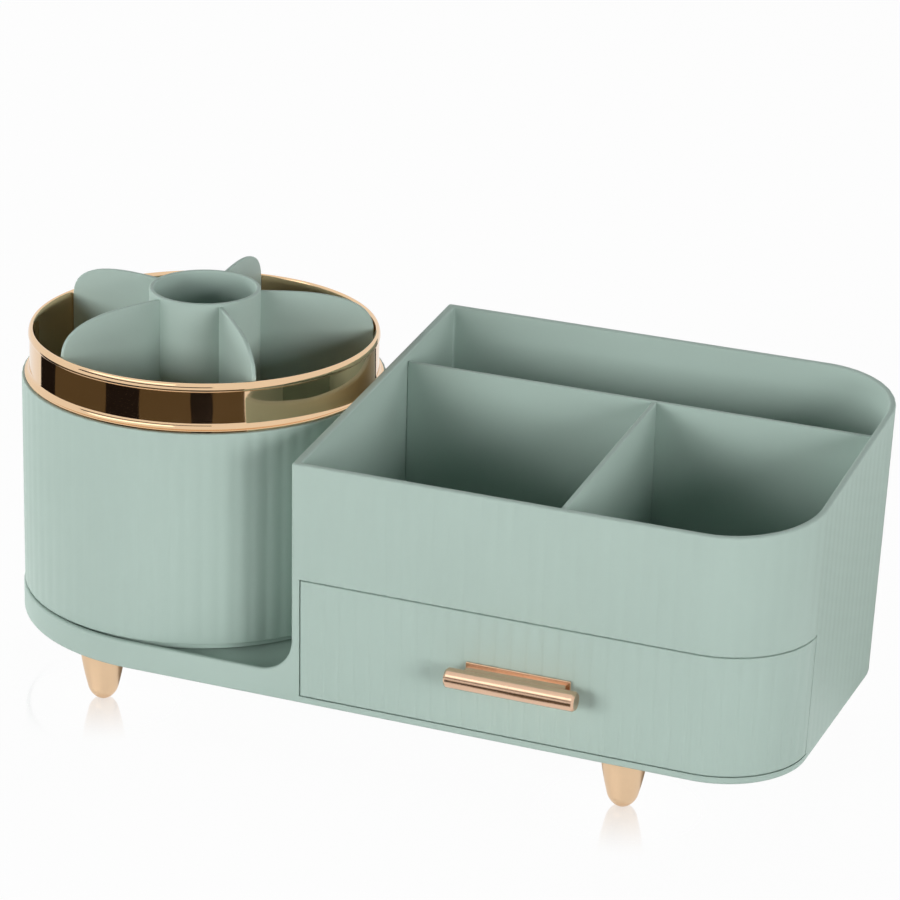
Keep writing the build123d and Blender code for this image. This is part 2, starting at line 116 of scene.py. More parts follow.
class FootSizes(bpy.types.PropertyGroup):
    """Sizes of a foot's turned profile."""

    tip: length("Tip", "Radius of the flat at the tip", 1.7 * MM)
    bulge: length("Bulge", "Radius of the domed tip, halfway round", 3.95 * MM)
    bulge_height: length("Bulge height", "Height of that halfway point", 1.75 * MM)
    shoulder: length("Shoulder", "Radius where the domed tip meets the side", 5.6 * MM)
    shoulder_height: length("Shoulder height", "Height of the domed tip", 5.3 * MM)
    waist: length("Waist", "Radius of the side, halfway up", 7.0 * MM)
    waist_height: length("Waist height", "Height of that halfway point", 11.5 * MM)
    edge: length("Edge", "Shadow line under the base", 0.2 * MM)


class ReedSizes(bpy.types.PropertyGroup):
    """Shallow upright reeds of the moulded walls."""

    depth: length("Depth", "Crown to groove", 0.16 * MM)
    softness: bpy.props.FloatProperty(
        name="Softness", description="Rounding of the groove", default=0.3, min=0.01, max=2
    )
    case_count: bpy.props.IntProperty(
        name="Case reeds", description="Reeds round the front, right and back", default=81, min=1
    )
    cup_count: bpy.props.IntProperty(
        name="Cup reeds", description="Reeds round the cup", default=72, min=3
    )
    steps: bpy.props.IntProperty(
        name="Steps", description="Columns of faces in one reed", default=8, min=4
    )
    fade: length("Fade", "Plain band above the base before the reeds begin", 1.2 * MM)


class CupSizes(bpy.types.PropertyGroup):
    """Sizes of the turning cup."""

    wall: length("Wall", "Thickness of the shell", 3 * MM)
    edge: length("Edge", "Rounding of the shell's edges", 0.45 * MM)
    tube_wall: length("Tube wall", "Thickness of the brush tube", 1.7 * MM)
    tube_floor: length("Tube floor", "Tube floor above the cup's floor", 7.6 * MM)
    panel: length("Panel", "Thickness of a radial divider", 1.6 * MM)
    panel_drop: length("Panel drop", "Tube rim to ring along a divider", 17 * MM)
    panel_power: bpy.props.FloatProperty(
        name="Panel curve", description="Power of a divider's top curve", default=3.0, min=1
    )
    panel_count: bpy.props.IntProperty(
        name="Panels", description="Radial dividers", default=5, min=1
    )
    panel_start: bpy.props.FloatProperty(
        name="First panel", description="Turn of the first divider from the right side",
        default=radians(24), unit="ROTATION",
    )
    panel_rim_drop: length("Rim drop", "Tube rim to a divider's top", 1.1 * MM)


class DrawerSizes(bpy.types.PropertyGroup):
    """Sizes of the drawer and its handle."""

    front: length("Front", "Thickness of the drawer's front", 3 * MM)
    wall: length("Wall", "Thickness of the drawer's box", 2 * MM)
    bar_radius: length("Bar radius", "Radius of the handle's bar", 3.5 * MM)
    web_length: length("Web length", "Web between the bar and its plate", 36 * MM)
    web_height: length("Web height", "Height of the web", 6 * MM)
    plate_length: length("Plate length", "Plate behind the bar", 38 * MM)
    plate: length("Plate", "Thickness of the handle's plate", 1 * MM)
    chamfer: length("Chamfer", "Edge of the bar's ends", 0.6 * MM)


class Colours(bpy.types.PropertyGroup):
    """Colours of the finishes."""

    sage: colour("Sage", "Moulded plastic", (0.423, 0.536, 0.484))
    rose_gold: colour("Rose gold", "Plated ring", (0.80, 0.56, 0.345))
    handle: colour("Handle", "Plated handle", (0.74, 0.50, 0.35))
    champagne: colour("Champagne", "Anodised feet", (0.78, 0.56, 0.36))
    zinc: colour("Zinc", "Screws and washer", (0.62, 0.63, 0.65))
    acetal: colour("Acetal", "Glide ring", (0.80, 0.80, 0.77))


class StageSizes(bpy.types.PropertyGroup):
    """Light, floor and the cards that the metals reflect."""

    floor: colour("Floor", "Floor and backdrop", (0.92, 0.92, 0.92))
    shadow: bpy.props.FloatProperty(
        name="Shadow", description="Share of the floor's own shading", default=0.035, min=0, max=1
    )
    reflection: bpy.props.FloatProperty(
        name="Reflection", description="Mirror share under a foot", default=0.4, min=0, max=1
    )
    reflection_reach: length("Reflection reach", "Where a foot's reflection ends", 40 * MM)
    reflection_blur: bpy.props.FloatProperty(
        name="Blur", description="Roughness of the reflection", default=0.09, min=0, max=1
    )
    ambient: bpy.props.FloatProperty(
        name="Ambient", description="Strength of the even light at the horizon", default=0.06, min=0
    )
    zenith: bpy.props.FloatProperty(
        name="Zenith", description="Even light straight above, as a share", default=0.12, min=0
    )
    key: bpy.props.FloatProperty(
        name="Key", description="Strength of the softbox in front", default=0.58, min=0
    )
    side: bpy.props.FloatProperty(
        name="Side", description="Strength of the left softbox", default=0.42, min=0
    )
    fill: bpy.props.FloatProperty(
        name="Fill", description="Strength of the right softbox", default=0.46, min=0
    )
    edge: bpy.props.FloatProperty(
        name="Edge", description="Strength of the far right softbox", default=0.18, min=0
    )
    top: bpy.props.FloatProperty(
        name="Top", description="Strength of the softbox above", default=0.25, min=0
    )
    card_near: length("Card near", "Cup's axis to the near edge of the cards", 182 * MM)
    card_far: length("Card far", "Cup's axis to the far edge of the cards", 490 * MM)
    card_inset: length("Card inset", "Object's edge to the card under it", 34 * MM)
    # painted shade: the colour of a card that stands in for the shaded floor under the body, seen
    # only in the feet's reflections
    card_under: colour("Card under", "Card that the feet reflect", (0.20, 0.17, 0.13))
    card_brown: colour("Brown card", "Card that the ring shows as brown", (0.10, 0.075, 0.04))
    card_black: colour("Black card", "Card that the ring shows as black", (0.012, 0.009, 0.008))
    card_wall: length("Card wall", "Cup's axis to the upright cards", 1500 * MM)
    card_dark: bpy.props.FloatVectorProperty(
        name="Dark card", description="Climb of its two edges in degrees", size=2, default=(13, 22)
    )
    card_light: bpy.props.FloatVectorProperty(
        name="Light card", description="Climb of its two edges in degrees", size=2, default=(31, 46)
    )
    card_shine: bpy.props.FloatProperty(
        name="Shine", description="Strength of the light card", default=2.4, min=0
    )


def sizes(group):
    """One of the scene's groups of sizes."""
    return getattr(bpy.context.scene, "organizer_" + group)


# ---------------------------------------------------------------- shader nodes
class Socket:
    """A node's output. Operators on it add Math nodes."""

    def __init__(self, shader, output):
        self.shader = shader
        self.output = output

    def math(self, operation, *values):
        """A Math node on the values."""
        inputs = dict(enumerate(values))
        return self.shader.node("ShaderNodeMath", {"operation": operation}, inputs)

    def __add__(self, other):
        return self.math("ADD", self, other)

    def __mul__(self, other):
        return self.math("MULTIPLY", self, other)

    __radd__ = __add__
    __rmul__ = __mul__


class Shader:
    """The nodes of one material or of the world."""

    def __init__(self, owner, output="ShaderNodeOutputMaterial"):
        owner.use_nodes = True
        self.tree = owner.node_tree
        self.tree.nodes.clear()
        self.output = self.tree.nodes.new(output)

    def node(self, kind, settings=None, inputs=None, output=0):
        """Adds a node: first its settings, then the values or links of its sockets."""
        made = self.tree.nodes.new(kind)
        for name, value in (settings or {}).items():
            setattr(made, name, value)
        for name, value in (inputs or {}).items():
            if isinstance(value, Socket):
                self.tree.links.new(value.output, made.inputs[name])
            else:
                made.inputs[name].default_value = value
        return Socket(self, made.outputs[output])

    def finish(self, surface):
        """Ends the nodes with their surface."""
        self.tree.links.new(surface.output, self.output.inputs["Surface"])

    def place(self):
        """The point on the object, in metres."""
        return self.node("ShaderNodeTexCoord", output="Object")

    def noise(self, grain, detail=2.0, roughness=0.5, stretch=(1, 1, 1)):
        """Noise whose features are about grain metres wide, from 0 to 1."""
        scale = [part / grain for part in stretch]
        place = self.node("ShaderNodeMapping", None, {"Vector": self.place(), "Scale": scale})
        inputs = {"Vector": place, "Scale": 1.0, "Detail": detail, "Roughness": roughness}
        return self.node("ShaderNodeTexNoise", None, inputs)

    def mix(self, factor, first, second):
        """A colour between two colours."""
        inputs = {0: factor, 6: first, 7: second}
        return self.node("ShaderNodeMix", {"data_type": "RGBA"}, inputs, output=2)

    def bump(self, height, distance, strength=1.0, normal=None):
        """A normal that follows a height."""
        inputs = {"Height": height, "Distance": distance, "Strength": strength}
        if normal is not None:
            inputs["Normal"] = normal
        return self.node("ShaderNodeBump", None, inputs)


def opaque(shade):
    """A colour with its alpha."""
    return tuple(shade) + (1.0,)


def tinted(shade, factor):
    """A colour made lighter or darker, with its alpha."""
    return opaque(min(1.0, part * factor) for part in shade)


def new_material(name):
    """A new material and its nodes."""
    material = bpy.data.materials.new(name)
    return material, Shader(material)


def moulded_plastic(name, shade, gloss):
    """Satin moulded plastic: a fine spark-eroded grain, faint flow clouds and handling marks."""
    material, shader = new_material(name)
    clouds = shader.noise(38 * MM, 3.0)
    specks = shader.noise(1.1 * MM, 2.0)
    grain = shader.noise(0.32 * MM, 3.0, 0.6)
    flow = shader.noise(9 * MM, 2.0, 0.5, (1, 1, 0.35))
    base = shader.mix(clouds, tinted(shade, 0.965), tinted(shade, 1.03))
    base = shader.mix(specks * 0.22, base, tinted(shade, 1.06))
    handled = shader.noise(14 * MM, 4.0, 0.6)
    rough = gloss + 0.10 * handled + 0.05 * specks
    soft = shader.bump(flow, 0.03 * MM, 0.25)
    normal = shader.bump(grain, 0.012 * MM, 0.5, soft)
    inputs = {"Base Color": base, "Roughness": rough, "IOR": 1.42, "Normal": normal}
    inputs["Specular IOR Level"] = 0.35
    shader.finish(shader.node("ShaderNodeBsdfPrincipled", None, inputs))
    return material


def plated(name, shade, polish, ripple):
    """Vacuum plating over a moulding: a mirror with slow ripples, haze and a few dust specks."""
    material, shader = new_material(name)
    haze = shader.noise(16 * MM, 3.0)
    dust = shader.noise(0.7 * MM, 1.0)
    waves = shader.noise(13 * MM, 1.0, 0.4, (1, 1, 0.6))
    base = shader.mix(haze, tinted(shade, 0.95), tinted(shade, 1.03))
    rough = polish + 0.03 * haze + 0.02 * dust
    normal = shader.bump(waves, ripple)
    inputs = {"Base Color": base, "Metallic": 1.0, "Roughness": rough, "Normal": normal}
    shader.finish(shader.node("ShaderNodeBsdfPrincipled", None, inputs))
    return material


def satin_metal(name, shade, satin, stretch):
    """Satin metal with fine tool lines across the stretched direction."""
    material, shader = new_material(name)
    cloud = shader.noise(7 * MM, 3.0)
    lines = shader.noise(0.25 * MM, 2.0, 0.6, stretch)
    base = shader.mix(cloud, tinted(shade, 0.93), tinted(shade, 1.04))
    rough = satin + 0.10 * lines + 0.06 * cloud
    normal = shader.bump(lines, 0.006 * MM, 0.6)
    inputs = {"Base Color": base, "Metallic": 1.0, "Roughness": rough, "Normal": normal}
    shader.finish(shader.node("ShaderNodeBsdfPrincipled", None, inputs))
    return material


def finish_of(name):
    """The material of that name, made the first time that it is asked for."""
    made = bpy.data.materials.get(name)
    if made is not None:
        return made
    shades = sizes("colours")
    makers = {
        "sage_satin": lambda: moulded_plastic(name, shades.sage, 0.42),
        "rose_gold_mirror": lambda: plated(name, shades.rose_gold, 0.028, 0.2 * MM),
        "rose_gold_bar": lambda: satin_metal(name, shades.handle, 0.14, (0.04, 1, 1)),
        "champagne_satin": lambda: satin_metal(name, shades.champagne, 0.30, (0.05, 0.05, 1)),
        "zinc_bright": lambda: satin_metal(name, shades.zinc, 0.28, (1, 1, 1)),
        "acetal_white": lambda: moulded_plastic(name, shades.acetal, 0.30),
    }
    return makers[name]()


# ---------------------------------------------------------------- mesh helpers
SMOOTH_ANGLE = radians(38)


def plain_object(name, shape, material):
    """Turns a bmesh into an object at the origin."""
    mesh = bpy.data.meshes.new(name)
    shape.to_mesh(mesh)
    shape.free()
    mesh.materials.append(material)
    made = bpy.data.objects.new(name, mesh)
    bpy.context.scene.collection.objects.link(made)
    return made


def to_object(name, shape, finish):
    """Turns a bmesh into a piece, smooth apart from its real edges."""
    made = plain_object(name, shape, finish_of(finish))
    soften(made.data)
    return made


def soften(mesh):
    """Smooth shading, with the edges kept where the surface really turns."""
    mesh.polygons.foreach_set("use_smooth", [True] * len(mesh.polygons))
    mesh.set_sharp_from_angle(angle=SMOOTH_ANGLE)
    mesh.update()


def hand_over(piece, body, slot, *nodes):
    """The piece rides on its body and stands for its frame nodes."""
    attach(piece, body)
    if nodes:
        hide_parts(*nodes)


def rounded(corners, steps=4):
    """A closed outline with its corners rounded: corners are (across, up, radius)."""
    points = []
    count = len(corners)
    for index, (x, y, radius) in enumerate(corners):
        here = Vector((x, y))
        if radius <= 0:
            points.append(here)
            continue
        before = (Vector(corners[index - 1][:2]) - here).normalized()
        after = (Vector(corners[(index + 1) % count][:2]) - here).normalized()
        half = before.angle(after) / 2
        reach = radius / tan(half)
        centre = here + (before + after).normalized() * (radius / sin(half))
        first = here + before * reach - centre
        last = here + after * reach - centre
        turn = atan2(first.x * last.y - first.y * last.x, first.dot(last))
        for step in range(steps + 1):
            points.append(centre + Matrix.Rotation(turn * step / steps, 2) @ first)
    return points


def arc(first, middle, last, steps):
    """Points of the circular arc through three points of a plane."""
    (ax, ay), (bx, by), (cx, cy) = first, middle, last
    twice = 2 * (ax * (by - cy) + bx * (cy - ay) + cx * (ay - by))
    squares = [x * x + y * y for x, y in (first, middle, last)]
    x = (squares[0] * (by - cy) + squares[1] * (cy - ay) + squares[2] * (ay - by)) / twice
    y = (squares[0] * (cx - bx) + squares[1] * (ax - cx) + squares[2] * (bx - ax)) / twice
    centre = Vector((x, y))
    start, end = Vector(first) - centre, Vector(last) - centre
    turn = atan2(start.x * end.y - start.y * end.x, start.dot(end))
    return [centre + Matrix.Rotation(turn * step / steps, 2) @ start for step in range(steps + 1)]


def smooth(share):
    """Eases a share from 0 to 1 at both its ends."""
    return share * share * (3 - 2 * share)


def quarter(steps):
    """Turns that divide a quarter circle."""
    return [pi / 2 * step / steps for step in range(steps + 1)]


def middle_of(low, high):
    """The centre of a box."""
    return Vector(((low.x + high.x) / 2, (low.y + high.y) / 2, (low.z + high.z) / 2))


def skin(shape, lower, upper, closed=True):
    """Quads between two rings of vertices that run anticlockwise, facing outwards."""
    count = len(lower)
    for index in range(count if closed else count - 1):
        after = (index + 1) % count
        corners = [lower[index], lower[after], upper[after], upper[index]]
        distinct = list(dict.fromkeys(corners))
        if len(distinct) > 2:
            shape.faces.new(distinct)


def basin(shape, rings):
    """Skins closed rings from the underside round to the inner floor, and closes both ends."""
    for lower, upper in zip(rings, rings[1:]):
        skin(shape, lower, upper)
    shape.faces.new(rings[-1])
    shape.faces.new(list(reversed(rings[0])))


def swept_wall(shape, rings):
    """Skins open rings that go round a wall's section, and closes the wall's two ends."""
    for lower, upper in zip(rings, rings[1:] + rings[:1]):
        skin(shape, lower, upper, closed=False)
    shape.faces.new([ring[0] for ring in reversed(rings)])
    shape.faces.new([ring[-1] for ring in rings])


def turned(shape, profile, centre, steps, outer=None):
    """Revolves a closed profile of (radius, height) about an upright axis.

    The profile runs up on its outside. Vertices beyond the outer radius get the reeds' layers.
    """
    rings = []
    layers = reed_layers(shape) if outer else None
    for radius, height in profile:
        ring = []
        for step in range(steps):
            turn = 2 * pi * step / steps
            out = Vector((cos(turn), sin(turn), 0))
            if radius < 1e-7 and ring:
                ring.append(ring[0])
                continue
            vertex = shape.verts.new(centre + out * radius + Vector((0, 0, height)))
            ring.append(vertex)
            if outer:
                start, full, count = outer
                share = min(max((radius - start) / (full - start), 0), 1)
                vertex[layers[0]] = out * share
                vertex[layers[1]] = step / steps * count
        rings.append(ring)
    for lower, upper in zip(rings, rings[1:] + rings[:1]):
        skin(shape, lower, upper)


def reed_layers(shape):
    """Layers that tell the reeding which way is out, and how many reeds along a vertex lies."""
    out = shape.verts.layers.float_vector.get("reed_out")
    along = shape.verts.layers.float.get("reed_along")
    if out is None:
        out = shape.verts.layers.float_vector.new("reed_out")
        along = shape.verts.layers.float.new("reed_along")
    return out, along


def edged_prism(shape, outline, normal, thickness, edge):
    """A flat panel with its outline's faces square to it and its edges rounded."""
    half = Vector(normal) * thickness / 2
    front = [shape.verts.new(Vector(point) + half) for point in outline]
    back = [shape.verts.new(Vector(point) - half) for point in outline]
    faces = [shape.faces.new(front), shape.faces.new(list(reversed(back)))]
    for index in range(len(outline)):
        after = (index + 1) % len(outline)
        corners = [front[index], back[index], back[after], front[after]]
        faces.append(shape.faces.new(corners))
    bmesh.ops.recalc_face_normals(shape, faces=faces)
    sharp = {e for face in faces for e in face.edges if e.calc_face_angle(0) > SMOOTH_ANGLE}
    bmesh.ops.bevel(
        shape, geom=list(sharp), offset=edge, segments=3, profile=0.5, affect="EDGES",
        clamp_overlap=True,
    )


def upright(middle, y, width, height):
    """The corners of an upright rectangle that faces the front."""
    return [
        (middle.x + across * width / 2, y, middle.z + up * height / 2)
        for across, up in ((-1, -1), (1, -1), (1, 1), (-1, 1))
    ]


# ---------------------------------------------------------------- geometry nodes
def node_tree(name, inputs):
    """A geometry tree with named inputs: (name, socket type, default)."""
    tree = bpy.data.node_groups.new(name, "GeometryNodeTree")
    face = tree.interface
    face.new_socket("Geometry", in_out="INPUT", socket_type="NodeSocketGeometry")
    face.new_socket("Geometry", in_out="OUTPUT", socket_type="NodeSocketGeometry")
    for label, kind, default in inputs:
        socket = face.new_socket(label, in_out="INPUT", socket_type=kind)
        if default is not None:
            socket.default_value = default
    return tree


def add_node(tree, kind, settings=None, inputs=None):
    """Adds a node: first its settings, then the values or links of its sockets."""
    made = tree.nodes.new(kind)
    for name, value in (settings or {}).items():
        setattr(made, name, value)
    for name, value in (inputs or {}).items():
        if isinstance(value, bpy.types.NodeSocket):
            tree.links.new(value, made.inputs[name])
        else:
            made.inputs[name].default_value = value
    return made


def end_tree(tree, geometry, material):
    """Ends a tree: real geometry with its material."""
    real = add_node(tree, "GeometryNodeRealizeInstances", None, {"Geometry": geometry})
    dressed = add_node(
        tree, "GeometryNodeSetMaterial", None, {"Geometry": real.outputs[0], "Material": material}
    )
    add_node(tree, "NodeGroupOutput", None, {"Geometry": dressed.outputs[0]})


def tree_math(tree, operation, first, second=0.0):
    """A Math node's result."""
    inputs = {0: first, 1: second}
    return add_node(tree, "ShaderNodeMath", {"operation": operation}, inputs).outputs[0]


def attribute(tree, kind, name):
    """A named attribute of the geometry."""
    inputs = {"Name": name}
    return add_node(tree, "GeometryNodeInputNamedAttribute", {"data_type": kind}, inputs).outputs[0]


def reeding_tree():
    """Presses reeds into a wall: each is a shallow round crown between two soft grooves."""
    found = bpy.data.node_groups.get("reeding")
    if found is not None:
        return found
    tree = node_tree("reeding", [
        ("Depth", "NodeSocketFloat", None),
        ("Softness", "NodeSocketFloat", None),
        ("Finish", "NodeSocketMaterial", None),
    ])
    given = add_node(tree, "NodeGroupInput").outputs
    along = attribute(tree, "FLOAT", "reed_along")
    out = attribute(tree, "FLOAT_VECTOR", "reed_out")
    wave = tree_math(tree, "SINE", tree_math(tree, "MULTIPLY", along, pi))
    soft = tree_math(tree, "MULTIPLY", given["Softness"], given["Softness"])
    square = tree_math(tree, "MULTIPLY", wave, wave)
    crown = tree_math(tree, "SQRT", tree_math(tree, "ADD", square, soft))
    highest = tree_math(tree, "SQRT", tree_math(tree, "ADD", soft, 1.0))
    height = tree_math(tree, "SUBTRACT", crown, highest)
    full = tree_math(tree, "SUBTRACT", highest, given["Softness"])
    share = tree_math(tree, "DIVIDE", height, full)
    reach = tree_math(tree, "MULTIPLY", share, given["Depth"])
    inputs = {0: out, "Scale": reach}
    offset = add_node(tree, "ShaderNodeVectorMath", {"operation": "SCALE"}, inputs)
    inputs = {"Geometry": given["Geometry"], "Offset": offset.outputs[0]}
    moved = add_node(tree, "GeometryNodeSetPosition", None, inputs)
    end_tree(tree, moved.outputs[0], given["Finish"])
    return tree


def panel_fan_tree():
    """Repeats a panel evenly about an upright axis."""
    found = bpy.data.node_groups.get("panel_fan")
    if found is not None:
        return found
    tree = node_tree("panel_fan", [
        ("Axis", "NodeSocketVector", None),
        ("Count", "NodeSocketInt", 5),
        ("Start", "NodeSocketFloat", None),
        ("Finish", "NodeSocketMaterial", None),
    ])
    given = add_node(tree, "NodeGroupInput").outputs
    inputs = {"Count": given["Count"], "Position": given["Axis"]}
    points = add_node(tree, "GeometryNodePoints", None, inputs)
    index = add_node(tree, "GeometryNodeInputIndex").outputs[0]
    share = tree_math(tree, "DIVIDE", index, given["Count"])
    turn = tree_math(tree, "MULTIPLY", share, 2 * pi)
    begun = tree_math(tree, "ADD", turn, given["Start"])
    spin = add_node(tree, "ShaderNodeCombineXYZ", None, {"Z": begun})
    inputs = {
        "Points": points.outputs[0], "Instance": given["Geometry"], "Rotation": spin.outputs[0],
    }
    fan = add_node(tree, "GeometryNodeInstanceOnPoints", None, inputs)
    end_tree(tree, fan.outputs[0], given["Finish"])
    return tree


def grown(piece, tree, values, finish):
    """Runs a tree on the piece and keeps its result as a plain mesh."""
    material = finish_of(finish)
    values = {**values, "Finish": material}
    modifier = piece.modifiers.new(tree.name, "NODES")
    modifier.node_group = tree
    for socket in tree.interface.items_tree:
        if socket.item_type == "SOCKET" and socket.in_out == "INPUT" and socket.name in values:
            modifier[socket.identifier] = values[socket.name]
    bpy.context.view_layer.update()
    graph = bpy.context.evaluated_depsgraph_get()
    mesh = bpy.data.meshes.new_from_object(piece.evaluated_get(graph))
    piece.modifiers.remove(modifier)
    plain = piece.data
    piece.data = mesh
    bpy.data.meshes.remove(plain)
    mesh.name = piece.name
    for name in ("reed_out", "reed_along"):
        if name in mesh.attributes:
            mesh.attributes.remove(mesh.attributes[name])
    mesh.materials.clear()
    mesh.materials.append(material)
    soften(mesh)


def reeded(piece):
    """Presses the reeds into a piece of the moulded plastic."""
    reeds = sizes("reeds")
    values = {"Depth": reeds.depth, "Softness": reeds.softness}
    grown(piece, reeding_tree(), values, "sage_satin")


# ---------------------------------------------------------------- outlines
class Outline:
    """A plan with a straight left side, and round corners on its right.

    Its columns run anticlockwise from the front left corner. Each is (side, share of the side,
    distance along the front, right and back).
    """

    LEFT_FRONT, FRONT, RIGHT_FRONT, RIGHT, RIGHT_BACK, BACK, LEFT_BACK = range(7)

    def __init__(self, left, right, front, back, corner, left_corner):
        self.left, self.right, self.front, self.back = left, right, front, back
        self.corner, self.left_corner = corner, left_corner
        straight = right - corner - left - left_corner
        bend = corner * pi / 2
        self.spans = [straight, bend, back - front - 2 * corner, bend, straight]
        self.reach = sum(self.spans)

    def column(self, along):
        """The column at a distance along the front, right and back."""
        left_over = along
        for index, span in enumerate(self.spans):
            if left_over <= span + 1e-9 or index == len(self.spans) - 1:
                return (self.FRONT + index, min(max(left_over / span, 0), 1), along)
            left_over -= span

    def columns(self, spacing, extra=(), start=0.0, stop=None, corners=True):
        """Columns about evenly spaced, with some at exact distances."""
        stop = self.reach if stop is None else stop
        count = ceil(self.reach / spacing - 1e-6)
        even = [self.reach * index / count for index in range(count + 1)]
        exact = sorted({start, stop, *extra})
        even = [s for s in even if start < s < stop and min(abs(s - e) for e in exact) > spacing / 3]
        made = [self.column(s) for s in sorted(even + exact)]
        if corners:
            bend = [index / 3 for index in range(3)]
            made = [(self.LEFT_FRONT, t, 0.0) for t in bend] + made
            made += [(self.LEFT_BACK, 1 - t, self.reach) for t in reversed(bend)]
        return made

    def at(self, column, inset=0.0, left_inset=None, out=0.0, left_corner=None):
        """A point of the plan and its outward direction.

        The plan is set in by inset, and by left_inset on its left side, and leans out by out.
        """
        side, share, _ = column
        left = self.left + (inset if left_inset is None else left_inset)
        right = self.right - inset + out
        front, back = self.front + inset - out, self.back - inset + out
        corner = self.corner - inset + out
        small = self.left_corner if left_corner is None else left_corner
        if side == self.FRONT:
            x = left + small + (right - corner - left - small) * share
            return Vector((x, front)), Vector((0, -1))
        if side == self.BACK:
            x = right - corner + (left + small - right + corner) * share
            return Vector((x, back)), Vector((0, 1))
        if side == self.RIGHT:
            y = front + corner + (back - front - 2 * corner) * share
            return Vector((right, y)), Vector((1, 0))
        centre, radius, start = {
            self.LEFT_FRONT: ((left + small, front + small), small, pi),
            self.RIGHT_FRONT: ((right - corner, front + corner), corner, -pi / 2),
            self.RIGHT_BACK: ((right - corner, back - corner), corner, 0.0),
            self.LEFT_BACK: ((left + small, back - small), small, pi / 2),
        }[side]
        turn = start + share * pi / 2
        out_way = Vector((cos(turn), sin(turn)))
        return Vector(centre) + out_way * radius, out_way


def ring_of(shape, outline, columns, height_of, reed=0.0, pitch=1.0, lean=None, plain=0.55, **place):
    """One ring of vertices. height_of gives a height from the plan's y.

    The reeds start a plain strip, in reeds, away from the left edges, and rise in a quarter reed.
    """
    rise = 4
    out_layer, along_layer = reed_layers(shape)
    ring = []
    for column in columns:
        flat, _ = outline.at(column, **place)
        height = height_of(flat.y)
        out = lean * (height - base_z()) if lean else 0.0
        point, way = outline.at(column, out=out, **place)
        vertex = shape.verts.new((point.x, point.y, height))
        if reed and Outline.FRONT <= column[0] <= Outline.BACK:
            clear = min(column[2], outline.reach - column[2]) / pitch - plain
            vertex[out_layer] = Vector((way.x, way.y, 0)) * reed * min(max(clear * rise, 0), 1)
        vertex[along_layer] = column[2] / pitch
        ring.append(vertex)
    return ring


# ---------------------------------------------------------------- places from the frame
@lru_cache(maxsize=None)
def node_box(node):
    """The lowest and highest corners of a frame node."""
    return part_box(node)


def base_z():
    """Underside of the base, on top of the feet."""
    return node_box("case_body")[0].z


def plate_z():
    """Top of the base plate."""
    return node_box("bearing_deck")[0].z


def tray_z():
    """Top of the tray's floor."""
    return node_box("front_divider")[0].z


def cup_axis():
    """Where the cup's upright axis meets the floor."""
    middle = middle_of(*node_box("cup_shell"))
    return Vector((middle.x, middle.y, 0))


def housing():
    """The plan of the case's right part, at the base."""
    case = sizes("case")
    left = node_box("drawer_front")[0].x - SEAM - case.end_wall
    right = node_box("case_body")[0].x + case.length
    middle = cup_axis().y
    return Outline(
        left, right, middle - case.depth / 2, middle + case.depth / 2, case.corner, case.edge
    )


def reed_pitch(outline):
    """Width of one of the case's reeds."""
    return outline.reach / sizes("reeds").case_count


def mouth_ends(outline):
    """Where the drawer's mouth starts and stops, along the housing."""
    start = node_box("drawer_front")[0].x - SEAM - outline.left - outline.left_corner
    return start, outline.spans[0] + outline.spans[1] + SEAM


# ---------------------------------------------------------------- case
def add_tray(shape, outline, columns, pitch):
    """The upper housing: leaning reeded walls, a sloping rim, and the tray inside."""
    case = sizes("case")
    lean = tan(case.lean)
    floor_z = tray_z()
    mouth_z = floor_z - case.floor
    rim_z = floor_z + case.tray_depth
    slope = case.rim_rise / case.depth
    start, stop = mouth_ends(outline)

    def rim(drop):
        """Heights a little under the sloping rim."""
        return lambda y: rim_z + (y - outline.front) * slope - drop

    def level(height):
        """The same height all round."""
        return lambda y: height

    def wall_ring(height_of, inset, reed, left_inset=None, left_corner=None):
        """A ring round the whole housing, set in from its outside."""
        place = {"inset": inset, "left_inset": inset if left_inset is None else left_inset}
        if left_corner is not None:
            place["left_corner"] = left_corner
        return ring_of(shape, outline, columns, height_of, reed, pitch, lean, **place)

    def seam_ring(depth, height):
        """The edge over the mouth is rounded, the rest of the wall runs straight on."""
        ring = wall_ring(level(height), 0.0, 1.0)
        for vertex, column in zip(ring, columns):
            if Outline.FRONT <= column[0] <= Outline.BACK and start <= column[2] <= stop:
                _, way = outline.at(column)
                vertex.co -= Vector((way.x, way.y, 0)) * depth
        return ring

    rings = []
    seam = case.seam_edge
    for turn in quarter(2):
        rings.append(seam_ring(seam * (1 - sin(turn)), mouth_z + seam * (1 - cos(turn))))
    edge = case.edge
    rings.append(wall_ring(rim(4 * edge), 0.0, 1.0))
    for index, turn in enumerate(quarter(4)):
        reed = 1.0 - index / 4
        rings.append(wall_ring(rim(edge * (1 - sin(turn))), edge * (1 - cos(turn)), reed))
    inner_edge = case.wall - edge
    extra = case.end_wall - case.wall
    for turn in quarter(4):
        inset = inner_edge + edge * sin(turn)
        height_of = rim(edge * (1 - cos(turn)))
        rings.append(wall_ring(height_of, inset, 0.0, left_inset=inset + extra))
    cove = case.cove
    tray_corner = 1.2 * MM
    for turn in quarter(5):
        inset = case.wall + cove * (1 - cos(turn))
        height = floor_z + cove * (1 - sin(turn))
        left = case.end_wall + cove * (1 - cos(turn))
        place = {"left_inset": left, "left_corner": tray_corner}
        rings.append(wall_ring(level(height), inset, 0.0, **place))
    basin(shape, rings)


